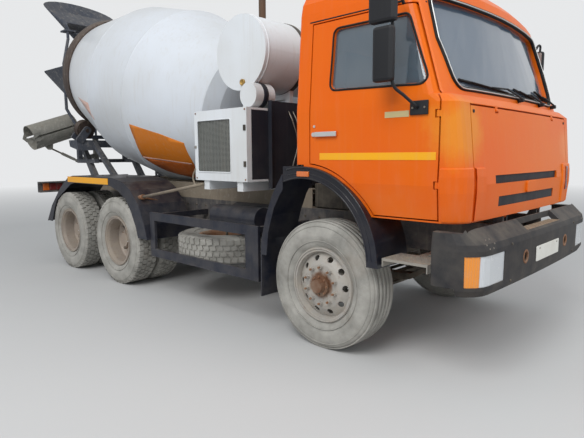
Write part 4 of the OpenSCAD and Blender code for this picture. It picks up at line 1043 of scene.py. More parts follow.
        # How far out the disc, the hub's cap and the rim's middle lie, and the circle of the cap's bolts
        face, cap, ring = (0.013, 0.149, 0.105) if self.twin else (0.118, 0.146, 0.073)
        rim = self.gap / 2 if self.twin else 0.0
        out = self.side.out
        for u, v in on_circle(10, self.nut_circle, 18.0):
            foot = self.hub @ Vector((u, v, face))
            piece.fix(Fixing.WASHER, foot, out, self.disc)
            piece.fix(Fixing.WHEEL_NUT, foot + out * 0.006, out, self.disc)
            piece.fix(Fixing.WHEEL_STUD, foot + out * 0.027, out)
        for u, v in on_circle(8, ring):
            piece.fix(Fixing.HUB_BOLT, self.hub @ Vector((u, v, cap - 0.001)), out)
        stem = ((0.250, 0.06), (0.262, 0.09), (0.268, 0.125))
        piece.pipe([self.hub @ Vector((u, 0.02, rim + along)) for u, along in stem], 0.005, Finish.BRIGHT)
        piece.lathe(hoop(self.bead + 0.002, self.bead + 0.013, rim + 0.119, 0.002), self.hub, self.disc, 72)
        piece.finished()

    def build(self) -> None:
        """Builds the wheel's pieces."""
        self.tyres()
        self.nuts()


@dataclass
class SpareWheel:
    """The spare wheel, which lies flat behind the guard in a hanger."""

    place: Point = (-1.800, -0.620, 0.585)
    radius: float = 0.528
    rim: tuple = ((0.272, -0.114), (0.303, -0.114), (0.303, -0.106), (0.286, -0.106), (0.286, 0.106),
                  (0.303, 0.106), (0.303, 0.114), (0.272, 0.114), (0.262, 0.076), (0.262, -0.076))
    disc: tuple = ((0.07, -0.06), (0.165, -0.06), (0.20, -0.045), (0.264, 0.05), (0.264, 0.037),
                   (0.20, -0.058), (0.165, -0.073), (0.07, -0.073))

    def build(self) -> None:
        """Makes its tyre, rim, disc and hanger in place of the plain one."""
        piece = Workpiece("spare_wheel_dressed", "chassis")
        middle = spot(*self.place)
        wheel = RoadWheel("spare", Side.RIGHT, self.place[0], 0.0, self.radius, Finish.HUB_MID, False)
        wheel.tyre(piece, Matrix.Translation(middle))
        for section in (self.rim, self.disc):
            piece.lathe(section, Matrix.Translation(middle), Finish.RUSTY, 72)
        piece.rod(middle + Vector((0, 0, -0.10)), middle + Vector((0, 0, 0.185)), 0.014, Finish.OILY)
        piece.block(middle + Vector((0, 0, -0.085)), (0.40, 0.06, 0.022), Finish.OILY, 0.004)
        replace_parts(piece.finished(), "spare_wheel")


@dataclass
class CabGlazing:
    """The windscreen's gasket and wipers, and the gutters over the doors.

    A corner of the windscreen's right half is a circle: across, up and radius. A wiper has its pivot, its
    elbow and its blade's two ends.
    """

    corners: tuple = ((-0.926, 2.516, 0.070), (-0.932, 2.300, 0.090), (-0.868, 2.096, 0.110))
    arms: tuple = (((0.02, 1.955), (-0.15, 2.035), (-0.84, 2.045), (0.02, 2.005)),
                   ((0.54, 1.955), (0.38, 2.035), (0.06, 2.055), (0.60, 2.005)),
                   ((0.97, 1.965), (0.84, 2.045), (0.62, 2.085), (0.97, 2.020)))
    gutter_x: tuple = (-0.10, 0.10, 0.30, 0.50, 0.70, 0.80)
    gutter_z: float = 2.535

    def gasket(self) -> None:
        """Makes the black gasket with the bright bead let into it."""
        skin = Skin("cab_shell")
        piece = Workpiece("windscreen_gasket", "cab")
        outline = round_trip([*self.corners, *((-u, v, r) for u, v, r in reversed(self.corners))], 0.008)
        for radius, lift, finish in ((0.016, 0.0, Finish.RUBBER_TRIM), (0.0045, 0.0145, Finish.BRIGHT)):
            piece.pipe([skin.from_front(u, v, lift) for u, v in outline], radius, finish, True, True)
        piece.finished()

    def wipers(self) -> None:
        """Makes three wipers, parked to the right, each with spindle, arm and blade."""
        skin = Skin("cab_shell", "cab_glass")
        piece = Workpiece("wipers", "cab")
        for pivot, elbow, first, last in self.arms:
            foot = skin.from_front(*pivot)
            bend = skin.from_front(*elbow, 0.040)
            piece.rod(foot - AHEAD * 0.02, foot + Vector((0.045, 0, 0.01)), 0.017, Finish.TRIM)
            knee = foot.lerp(bend, 0.5) + AHEAD * 0.03
            piece.pipe([foot + Vector((0.040, 0, 0.01)), knee, bend], 0.008, Finish.TRIM)
            blade = []
            for step in range(7):
                y, z = (start + (end - start) * step / 6 for start, end in zip(first, last))
                blade.append(skin.from_front(y, z, 0.012))
            piece.pipe(blade, 0.009, Finish.RUBBER_TRIM)
            piece.pipe([point + AHEAD * 0.016 for point in blade[1:-1]], 0.005, Finish.TRIM)
            piece.pipe([bend, blade[3] + AHEAD * 0.018], 0.007, Finish.TRIM, False)
        piece.finished()

    def gutters(self) -> None:
        """Makes the black rain gutters along the roof's edge over each door."""
        skin = Skin("cab_shell")
        piece = Workpiece("rain_gutters", "cab")
        for side in Side:
            route = [skin.from_side(side, x, self.gutter_z, -0.004) for x in self.gutter_x]
            piece.pipe(route, 0.007, Finish.TRIM)
        piece.finished()

    def build(self) -> None:
        """Builds the glazing's pieces."""
        self.gasket()
        self.wipers()
        self.gutters()


@dataclass
class DoorTrim:
    """What is fixed on a door: its window's gasket, stripe, blank plate, handle and lock.

    A window's corner is a circle: along, up and radius. A strip has its place along and up, its sides, its
    finish and its bevel; a lock has its kind and its place.
    """

    side: Side
    window: tuple = ((0.170, 2.062, 0.040), (0.852, 2.040, 0.040), (0.716, 2.405, 0.040),
                     (0.184, 2.405, 0.040))
    strips: tuple = ((0.51, 1.535, (0.955, 0.005, 0.050), Finish.YELLOW, 0.001),
                     (0.698, 1.81, (0.185, 0.006, 0.040), Finish.SIGN, 0.001),
                     (0.10, 1.70, (0.206, 0.012, 0.036), Finish.BRIGHT, 0.004))
    locks: tuple = ((Fixing.DOOR_LOCK, -0.025, 1.70), (Fixing.DOOR_LATCH, -0.02, 1.76))

    def build(self) -> None:
        """Makes the door's trim as one piece that swings with it."""
        skin = Skin(f"door_{self.side.word}")
        piece = Workpiece(f"door_trim_{self.side.word}", f"door_{self.side.word}")
        route = [skin.from_side(self.side, u, v) for u, v in round_trip(self.window, 0.008)]
        piece.pipe(route, 0.008, Finish.RUBBER_TRIM, True, True)
        for x, z, size, finish, bevel in self.strips:
            piece.block(skin.from_side(self.side, x, z), size, finish, bevel)
        for kind, x, z in self.locks:
            piece.fix(kind, skin.from_side(self.side, x, z, -0.002), self.side.out)
        piece.finished()


@dataclass
class CornerPanel:
    """The raised panel round the cab's lower corner, and the wing's side marker and rolled edges.

    A roll has its reach from the arch's middle and its own radius. A level has its height and how far the
    panel stands proud there. Seen from above, the panel sweeps round a point, by so many degrees, and goes
    on inwards at a few places across.
    """

    side: Side
    arch: tuple[float, float] = (-0.130, 0.750)
    rolls: tuple = ((0.700, 0.008), (0.655, 0.004), (0.619, 0.006))
    wing_y: float = 1.23
    levels: tuple = ((1.112, 0.002), (1.116, 0.012), (1.20, 0.013), (1.30, 0.014), (1.40, 0.015),
                     (1.452, 0.014), (1.460, 0.001))
    thick: float = 0.018
    turn_at: tuple[float, float] = (1.022, 0.90)
    sweep: float = 66.0
    columns: int = 12
    inner_y: tuple = (0.984, 0.950, 0.916, 0.882, 0.848)

    def wing_trim(self) -> None:
        """Makes the side marker and the wing's rolled edges."""
        piece = Workpiece(f"corner_trim_{self.side.word}", "cab")
        marker = Skin("cab_shell", "front_wings").from_side(self.side, -0.12, 1.40, -0.004)
        piece.block(marker, (0.125, 0.030, 0.042), Finish.AMBER, 0.006)
        wings = Skin("front_wings")
        for reach, radius in self.rolls:
            arc = [math.radians(4.0 + 5.0 * step) for step in range(34)]
            route = [wings.from_side(self.side, self.arch[0] + reach * math.cos(angle),
                                     self.arch[1] + reach * math.sin(angle)) for angle in arc]
            piece.pipe([point for point in route if abs(point.y) < self.wing_y], radius, Finish.WING)
        piece.finished()

    def panels(self) -> None:
        """Makes the raised panel: the part on the cab's corner, and the part on the facing panel."""
        sign = self.side.value
        shell = Workpiece(f"corner_panel_{self.side.word}", "cab")
        rows = []
        x, y = self.turn_at
        for step in range(self.columns + 1):
            angle = math.radians(self.sweep * step / self.columns)
            way = (-math.sin(angle), -sign * math.cos(angle), 0.0)
            rows.append((spot(x, sign * y, 0.0) - Vector(way) * 0.6, way))
        self.sheet(shell, Skin("cab_shell"), rows)
        shell.finished()
        lid = Workpiece(f"corner_panel_inner_{self.side.word}", "front_lid")
        face = Skin("front_lid")
        rows = [(spot(FAR_FRONT, sign * y, 0.0), (-1.0, 0.0, 0.0)) for y in self.inner_y]
        self.sheet(lid, face, rows)
        if self.side is Side.LEFT:
            foot = face.from_front(sign * 0.935, 1.33, 0.008)
            lid.plate(rounded(0.026, 0.105, 0.012), facing_front(foot), 0.009, Finish.RED, 0.003)
        lid.finished()

    def sheet(self, piece: Workpiece, skin: Skin, rows: Sequence[tuple[Vector, Point]]) -> None:
        """Lays the raised panel on the skin, column by column.

        Args:
            piece: the piece that takes it.
            skin: what it lies on.
            rows: for each column a point at height 0 and the direction towards the skin.
        """
        across, up = len(rows) - 1, len(self.levels) - 1
        form = bmesh.new()
        bmesh.ops.create_grid(form, x_segments=across, y_segments=up, size=0.5)
        for vert in form.verts:
            start, way = rows[round((vert.co.x + 0.5) * across)]
            level, lift = self.levels[round((vert.co.y + 0.5) * up)]
            vert.co = skin.meet(start + UP * level, way, lift)
        form.normal_update()
        bmesh.ops.recalc_face_normals(form, faces=form.faces)
        middle = spot(0.4, 0.0, 1.3)
        for vert in thicken(form):
            inward = middle - vert.co
            inward.z = 0.0
            vert.co += inward.normalized() * self.thick
        piece.take(form, Finish.CAB, None, False)

    def build(self) -> None:
        """Builds the corner's pieces."""
        self.wing_trim()
        self.panels()


@dataclass
class FacingPanel:
    """The panel over the radiator: its two slots with slats, and the bare pad between them.

    A slot has half its width, its lower and its upper edge.
    """

    slots: tuple = ((0.673, 1.343, 1.402), (0.600, 1.182, 1.253))
    slats: tuple = (-0.014, 0.010)

    def liner(self, piece: Workpiece, skin: Skin, half: float, low: float, high: float) -> None:
        """Lays a dark sheet in a slot, just under the panel's skin: painted shade of the slot's recess and
        the dark parts behind it.

        Args:
            piece: the piece that takes it.
            skin: the panel's skin.
            half: half of the slot's width.
            low: its lower edge.
            high: its upper edge.
        """
        form = bmesh.new()
        bmesh.ops.create_grid(form, x_segments=24, y_segments=1, size=0.5)
        for vert in form.verts:
            y = vert.co.x * 2 * half
            x = skin.from_front(y, high + 0.03).x - 0.010
            vert.co = (x, y, low + (vert.co.y + 0.5) * (high - low))
        bmesh.ops.translate(form, vec=(-0.003, 0, 0), verts=thicken(form))
        piece.take(form, Finish.SHIELD, None, False)

    def build(self) -> None:
        """Makes the slats, the slots' dark floors of painted shade, the pad and the panel's four screws."""
        skin = Skin("front_lid")
        piece = Workpiece("facing_panel_trim", "front_lid")
        for half, low, high in self.slots:
            # A dark sheet in the slot paints the shade inside its recess.
            self.liner(piece, skin, half, low, high)
            for offset in self.slats:
                route = []
                for step in range(9):
                    y = (half - 0.02) * (step / 4 - 1)
                    x = skin.from_front(y, high + 0.03, -0.022).x
                    route.append(Vector((x, y, (low + high) / 2 + offset)))
                piece.pipe(route, 0.0055, Finish.TRIM)
        pad = facing_front(skin.from_front(0.0, 1.298) - AHEAD * 0.006)
        piece.plate(rounded(0.100, 0.044, 0.018), pad, 0.020, Finish.CAB, 0.006)
        for side in Side:
            for z in (1.20, 1.82):
                piece.fix(Fixing.PANEL_SCREW, skin.from_front(side.value * 0.955, z, -0.001), AHEAD)
        piece.finished()


@dataclass
class DoorMirrors:
    """The outside mirrors, folded along the door, on their bent arm.

    A housing has its place along and up, its width and its height. A bend of the arm has its place along,
    out from the door and up.
    """

    side: Side
    door_y: float = 1.200
    housings: tuple = ((0.700, 2.170, 0.144, 0.340), (0.690, 2.460, 0.192, 0.200))
    bends: tuple = ((0.735, 0.002, 2.500), (0.738, 0.060, 2.560), (0.752, 0.140, 2.612),
                    (0.752, 0.150, 2.560), (0.752, 0.150, 2.080), (0.756, 0.148, 1.985),
                    (0.806, 0.085, 1.912), (0.860, 0.014, 1.842))
    foot_z: float = 1.842

    def at(self, x: float, out: float, z: float) -> Vector:
        """A place that lies out from the door's skin."""
        return spot(x, self.side.value * (self.door_y + out), z)

    def build(self) -> None:
        """Makes housings, glasses, arm and foot in place of the plain ones."""
        word = self.side.word
        piece = Workpiece(f"mirror_dressed_{word}", frame_body(f"mirror_{word}"))
        for x, z, wide, tall in self.housings:
            piece.block(self.at(x, 0.170, z), (wide, 0.060, tall), Finish.TRIM, 0.020)
            glass = outward(self.at(x, 0.1405, z), Side(-self.side.value))
            piece.plate(rounded(wide / 2 - 0.014, tall / 2 - 0.014, 0.018), glass, 0.002, Finish.BRIGHT)
        piece.pipe([self.at(*bend) for bend in self.bends], 0.011, Finish.TRIM)
        piece.block(self.at(0.865, 0.0075, self.foot_z), (0.128, 0.013, 0.090), Finish.TRIM, 0.004)
        for x in (0.822, 0.908):
            piece.fix(Fixing.MIRROR_BOLT, self.at(x, 0.013, self.foot_z), self.side.out)
        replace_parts(piece.finished(), f"mirror_{word}")


def crossed(place: Vector, row: int, step: int) -> Matrix:
    """The frame of a tread plate's bar, which lies slanted one way or the other by turns."""
    return Matrix.Translation(place) @ Matrix.Rotation(math.radians(45 if (row + step) % 2 else -45), 4, "Z")


@dataclass
class BumperDress:
    """The bumper's tread plate, blank number plate, tow rings and bolts, and the steps' treads."""

    plate_z: float = 0.815
    tow_hole: tuple[float, float] = (0.461, 0.827)
    tow_rim_y: float = 0.520
    lamp: tuple[float, float] = (1.03, 0.985)
    tow_ring: tuple = ((0.036, -0.01), (0.036, 0.004), (0.050, 0.004), (0.052, -0.01))

    def fittings(self) -> None:
        """Makes the bumper's fittings on the chassis."""
        skin = Skin("bumper")
        piece = Workpiece("bumper_fittings", "chassis")
        face = skin.from_front(0.0, self.plate_z)
        plate = facing_front(face + AHEAD * 0.0005)
        piece.plate(rounded(0.260, 0.056, 0.010), plate, 0.006, Finish.BLANK, 0.002)
        for y in (-0.20, 0.20):
            piece.fix(Fixing.PLATE_SCREW, face + Vector((0.006, y, 0.038)), AHEAD)
        for side in Side:
            y, z = self.tow_hole
            rim = skin.from_front(side.value * self.tow_rim_y, z)
            piece.lathe(self.tow_ring, facing_front(Vector((rim.x, side.value * y, z))), Finish.RUSTY, 40)
            for u, v in on_circle(6, 1.0):
                foot = skin.from_front(side.value * self.lamp[0] + 0.05 * u, self.lamp[1] + 0.03 * v, -0.001)
                piece.fix(Fixing.LAMP_SCREW, foot, AHEAD)
            for z in (0.70, 0.95):
                piece.fix(Fixing.BUMPER_BOLT, skin.from_front(side.value * 0.72, z, -0.001), AHEAD)
        tread = skin.from_above(spot(1.25, 0.0, 1.3))
        piece.block(tread + UP * 0.002, (0.080, 0.74, 0.004), Finish.TREAD, 0.001)
        places = [crossed(tread + Vector((-0.030 + 0.020 * row, -0.347 + 0.033 * step, 0.0045)), row, step)
                  for row in range(4) for step in range(22)]
        piece.bars(places, (0.018, 0.005, 0.003), Finish.TREAD)
        piece.finished()

    def steps(self) -> None:
        """Makes the raised bars of the steps' tread, where a ray from above meets the step's top."""
        skin = Skin("steps")
        low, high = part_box("steps")
        piece = Workpiece("step_treads", frame_body("steps"))
        places = []
        for row in range(12):
            for step in range(48):
                y = low.y + 0.012 + step * (high.y - low.y - 0.024) / 47
                met = skin.from_above(Vector((low.x + 0.015 + 0.029 * row, y, high.z + 0.3)))
                if abs(met.z - high.z) < 0.004:
                    places.append(crossed(met + UP * 0.001, row, step))
        piece.bars(places, (0.022, 0.006, 0.004), Finish.STEP)
        piece.finished()

    def build(self) -> None:
        """Builds the bumper's fittings and the steps' treads."""
        self.fittings()
        self.steps()


@dataclass
class GuardDress:
    """The mudguards' yellow reflectors and their fixing bolts."""

    middle_x: float = -3.88
    strip_z: float = 1.240
    bolt_pitch: float = 0.64

    def build(self) -> None:
        """Makes the reflectors and bolts on both sides."""
        skin = Skin("mudguards")
        piece = Workpiece("guard_reflectors", "chassis")
        for side in Side:
            face = skin.from_side(side, self.middle_x, self.strip_z + 0.005)
            strip = Vector((AXLE_X + self.middle_x, face.y, self.strip_z))
            piece.block(strip, (1.14, 0.010, 0.075), Finish.YELLOW, 0.002)
            for step in (-1, 0, 1):
                foot = skin.from_above(spot(self.middle_x + step * self.bolt_pitch, side.value, 1.6))
                piece.fix(Fixing.GUARD_BOLT, foot, UP)
        piece.finished()


@dataclass
class DrumDress:
    """The drum's painted panels, seams, ring face and crusted rear cone.

    The profile has places along the axis from the ring and the radius there. A panel has its finish, how
    far it stands proud, and its corners as place along the axis and angle from the top.
    """

    tilt: float = math.radians(13.68)
    ring: Point = (-5.139, 0, 2.780)
    profile: tuple = ((-0.560, 0.560), (-0.545, 0.570), (-0.060, 0.824), (0.060, 0.842), (1.211, 1.101),
                      (2.088, 1.101), (3.293, 0.814), (3.380, 0.654), (3.440, 0.300))
    panels: tuple = (
        (Finish.PANEL, 0.0012, ((2.182, 108.7), (2.661, 112.1), (3.001, 116.3), (3.003, 131.8),
                                (2.990, 137.0), (2.146, 134.8), (2.193, 119.9))),
        (Finish.PANEL_DARK, 0.0012, ((2.146, 134.8), (2.990, 137.0), (2.926, 144.2), (2.67, 160.6),
                                     (2.35, 150.0))),
        (Finish.PINK, 0.0022, ((2.148, 133.6), (2.954, 135.8), (2.954, 137.2), (2.148, 135.0))),
        (Finish.PINK, 0.0012, ((0.52, 107.4), (1.167, 104.3), (1.259, 115.4))))
    seams: tuple = (1.211, 2.088, 3.285)
    ring_face: tuple = ((0.800, -0.127), (0.860, -0.127), (0.861, -0.120), (0.861, 0.050), (0.860, 0.057),
                        (0.835, 0.057))
    rear_cone: tuple = ((0.560, -0.562), (0.573, -0.548), (0.790, -0.131), (0.780, -0.127))

    @property
    def place(self) -> Matrix:
        """The drum's own frame, with its origin at the ring.

        Returns:
            The frame: X to the drum's top, Y to the truck's right side and Z forwards along the axis.
        """
        c, s = math.cos(self.tilt), math.sin(self.tilt)
        ring = spot(*self.ring)
        return Matrix(((s, 0, c, ring.x), (0, -1, 0, 0), (c, 0, -s, ring.z), (0, 0, 0, 1)))

    def reach(self, along: float) -> float:
        """The drum's outer radius at a place along its axis.

        Args:
            along: the place, from the ring.

        Returns:
            The radius.
        """
        for (s0, r0), (s1, r1) in zip(self.profile, self.profile[1:]):
            if s0 <= along <= s1:
                return r0 + (r1 - r0) * (along - s0) / (s1 - s0)
        return self.profile[-1][1]

    def panel(self, piece: Workpiece, corners: Outline, finish: Finish, lift: float, turn: float) -> None:
        """Lays a painted panel on the drum's skin.

        Args:
            piece: the piece that takes it.
            corners: its corners as place along the axis and angle from the top.
            finish: its finish.
            lift: how far it stands proud.
            turn: an angle added to each corner.
        """
        form = bmesh.new()
        form.faces.new([form.verts.new((s, math.radians(angle + turn), 0)) for s, angle in corners])
        along, about = Vector((1, 0, 0)), Vector((0, 1, 0))
        cuts = [(along * s, along) for s, _ in self.profile]
        cuts += [(about * math.radians(3 * step), about) for step in range(-10, 160)]
        cuts += [(along * 0.25 * step, along) for step in range(14)]
        for at, way in cuts:
            bmesh.ops.bisect_plane(form, geom=form.verts[:] + form.edges[:] + form.faces[:], plane_co=at,
                                   plane_no=way)
        raised = set(thicken(form))
        for vert in form.verts:
            s, angle, _ = vert.co
            r = self.reach(s) + (lift if vert in raised else -0.004)
            vert.co = (r * math.cos(angle), r * math.sin(angle), s)
        piece.take(form, finish, self.place)

    def seam(self, piece: Workpiece, middle: float, half: float = 0.010, lift: float = 0.0035) -> None:
        """Lays a low ring round the drum.

        Args:
            piece: the piece that takes it.
            middle: its middle along the axis.
            half: half of its width.
            lift: how far it stands proud.
        """
        low, high = self.reach(middle - half), self.reach(middle + half)
        start, end = middle - half, middle + half
        ring = [(low - 0.004, start), (low + lift * 0.3, start), (self.reach(middle) + lift, middle),
                (high + lift * 0.3, end), (high - 0.004, end)]
        piece.lathe(ring, self.place, Finish.DRUM, 120)

    def build(self) -> None:
        """Makes the drum's panels, seams, ring face and rear cone."""
        panels = Workpiece("drum_panels", "drum")
        for turn in (0.0, 180.0):
            for finish, lift, corners in self.panels:
                self.panel(panels, corners, finish, lift, turn)
        panels.finished()
        seams = Workpiece("drum_seams", "drum")
        for middle in self.seams:
            self.seam(seams, middle)
        seams.finished()
        ring = Workpiece("roller_ring_face", "drum")
        ring.lathe(self.ring_face, self.place, Finish.RING, 120)
        ring.lathe(self.rear_cone, self.place, Finish.CRUST, 120)
        ring.finished()


@dataclass
class TankDress:
    """Fittings of the water tank and the bottle: end bead, straps, filler cap and band."""

    centre: Point = (-1.170, 0, 2.500)
    bottle: Point = (-0.990, 0, 2.096)
    radius: float = 0.345
    half: float = 0.930
    cap: tuple = ((0.0, -0.01), (0.030, -0.01), (0.030, 0.014), (0.024, 0.014), (0.022, 0.008), (0.0, 0.008))

    def build(self) -> None:
        """Makes the tank's and the bottle's fittings."""
        piece = Workpiece("tank_fittings", frame_body("water_tank"))
        centre = spot(*self.centre)
        place = outward(centre, Side.RIGHT)
        low = self.radius - 0.003
        piece.lathe(hoop(low, self.radius + 0.005, self.half - 0.045, 0.012, 0.006), place, Finish.TANK, 72)
        for y in (-0.392, 0.392):
            piece.lathe(hoop(low, self.radius + 0.004, y, 0.028), place, Finish.OILY, 72)
        cap = outward(centre + Vector((0.035, -self.half - 0.003, -0.275)), Side.RIGHT)
        piece.lathe(self.cap, cap, Finish.BRASS, 32)
        barrel = outward(spot(*self.bottle), Side.RIGHT)
        piece.lathe(hoop(0.110, 0.115, 0.875, 0.030, 0.028), barrel, Finish.SHIELD, 48)
        piece.finished()


@dataclass
class CabinetDress:
    """The cooler cabinet's mesh, frame, hinges, catch and dark sides."""

    low_x: float = -1.570
    high_x: float = -1.070
    low_z: float = 1.390
    high_z: float = 1.880
    face_y: float = -1.150
    hinge_z: tuple[float, float] = (1.47, 1.79)
    side_x: tuple[float, float] = (-0.8505, -1.6145)

    def build(self) -> None:
        """Makes the grille in the cabinet's recess and its hinges."""
        piece = Workpiece("cabinet_grille", frame_body("cooler_cabinet"))
        x, y, z = (self.low_x + self.high_x) / 2, self.face_y, (self.low_z + self.high_z) / 2
        wide, tall = self.high_x - self.low_x, self.high_z - self.low_z
        piece.block(spot(x, y + 0.026, z), (wide, 0.006, tall), Finish.DARK)
        rows = [spot(x, y + 0.012, self.low_z + 0.006 + step * (tall - 0.012) / 43) for step in range(44)]
        piece.bars(map(Matrix.Translation, rows), (wide, 0.004, 0.0055), Finish.WIRE)
        posts = [spot(self.low_x + 0.012 + step * (wide - 0.024) / 10, y + 0.017, z) for step in range(11)]
        piece.bars(map(Matrix.Translation, posts), (0.005, 0.004, tall), Finish.WIRE)
        route = [spot(x + u, y + 0.001, z + v) for u, v in rounded(wide / 2, tall / 2, 0.02, 3)]
        piece.pipe(route, 0.007, Finish.TANK, False, True)
        for hinge in self.hinge_z:
            piece.block(spot(-0.875, y - 0.002, hinge), (0.028, 0.016, 0.050), Finish.OILY, 0.003)
        for side in self.side_x:
            piece.block(spot(side, -0.985, 1.640), (0.003, 0.215, 0.620), Finish.SHIELD)
        piece.fix(Fixing.CABINET_CATCH, spot(-1.60, y - 0.001, 1.63), Side.RIGHT.out)
        for corner_x in (-1.59, -0.87):
            for corner_z in (1.33, 1.95):
                piece.fix(Fixing.CABINET_BOLT, spot(corner_x, y - 0.001, corner_z), Side.RIGHT.out)
        piece.finished()


@dataclass
class BehindCab:
    """The thin lines, the ribbed hose and the control rod behind the cab, and the exhaust's rim and clamps.

    A line has its place across and how far its middle is bowed. A run, which is the hose, the rod, its lever
    or its link, has its radius, its finish, whether it bends softly, and its points.
    """

    lines: tuple = ((-0.62, 0.05), (-0.56, 0.02), (-0.50, -0.02))
    runs: tuple = (
        (0.026, Finish.SHIELD, True, ((-0.80, -0.36, 1.40), (-0.745, -0.36, 1.56), (-0.745, -0.38, 1.78),
                                      (-0.82, -0.40, 1.93))),
        (0.016, Finish.BEAM, False, ((-1.50, -1.15, 1.27), (-2.67, -1.15, 1.08))),
        (0.009, Finish.BEAM, True, ((-1.62, -1.15, 1.25), (-1.66, -1.15, 1.33), (-1.61, -1.15, 1.42))),
        (0.010, Finish.RUSTY, False, ((-2.67, -1.15, 1.08), (-2.67, -1.06, 1.06), (-2.67, -0.90, 1.02))))
    rod_eye: tuple[Point, Point] = ((-2.62, -1.15, 1.088), (-2.72, -1.15, 1.072))
    stack: Point = (-1.565, -0.262, 0)
    rim: tuple = ((0.0345, 3.344), (0.0345, 3.353), (0.041, 3.353), (0.042, 3.340), (0.0375, 3.335))
    clamps: tuple = (1.62, 2.20, 2.86)

    def hoses(self) -> None:
        """Makes the hoses, which are held at both ends, and the rods."""
        piece = Workpiece("hoses_and_rods", "chassis")
        for y, bow in self.lines:
            route = ((-0.84, y, 1.28), (-0.79, y, 1.45), (-0.775, y + bow, 1.66), (-0.79, y, 1.86),
                     (-0.845, y, 1.96))
            piece.pipe([spot(*point) for point in route], 0.006, Finish.STEEL)
        for radius, finish, soft, route in self.runs:
            piece.pipe([spot(*point) for point in route], radius, finish, soft)
        piece.rod(*(spot(*end) for end in self.rod_eye), 0.030, Finish.RUSTY, 20, 0.024)
        piece.finished()

    def exhaust(self) -> None:
        """Makes the exhaust's rim and its clamps."""
        piece = Workpiece("exhaust_rim", frame_body("exhaust_stack"))
        place = Matrix.Translation(spot(*self.stack))
        piece.lathe(self.rim, place, Finish.STACK, 48)
        for z in self.clamps:
            piece.lathe(hoop(0.037, 0.042, z, 0.012), place, Finish.OILY, 40)
        piece.finished()

    def build(self) -> None:
        """Builds the pieces behind the cab."""
        self.hoses()
        self.exhaust()


@dataclass
class RearEnd:
    """Lamps and a blank plate on the tail beam, and bolts along the frame."""

    lenses: tuple = ((1.12, Finish.AMBER), (1.02, Finish.RED), (0.92, Finish.RED))
    lamp_z: float = 1.09
    far_back: float = -6.6
    bolts: int = 26
    bolt_z: float = 0.95
    rail_y: float = 0.46

    def lamps(self) -> None:
        """Makes the tail lamps and the blank plate between them."""
        skin = Skin("frame")
        piece = Workpiece("tail_lamps", "chassis")
        for side in Side:
            for y, lens in self.lenses:
                face = skin.meet(spot(self.far_back, side.value * y, self.lamp_z), AHEAD)
                piece.block(face, (0.060, 0.094, 0.110), lens, 0.008)
        face = skin.meet(spot(self.far_back, 0.0, self.lamp_z), AHEAD)
        piece.block(face, (0.010, 0.50, 0.115), Finish.BLANK, 0.002)
        piece.finished()

    def frame_bolts(self) -> None:
        """Makes the bolts along the rails, where nothing stands before them."""
        skin = Skin("frame")
        piece = Workpiece("frame_bolts", "chassis")
        for side in Side:
            for step in range(self.bolts):
                start = spot(-0.62 - 0.18 * step, side.value * 1.0, self.bolt_z)
                foot = skin.meet(start, -side.out)
                if abs(foot.y) < self.rail_y:
                    piece.fix(Fixing.FRAME_BOLT, foot, side.out)
        piece.finished()

    def build(self) -> None:
        """Builds the tail's and the frame's pieces."""
        self.lamps()
        self.frame_bolts()


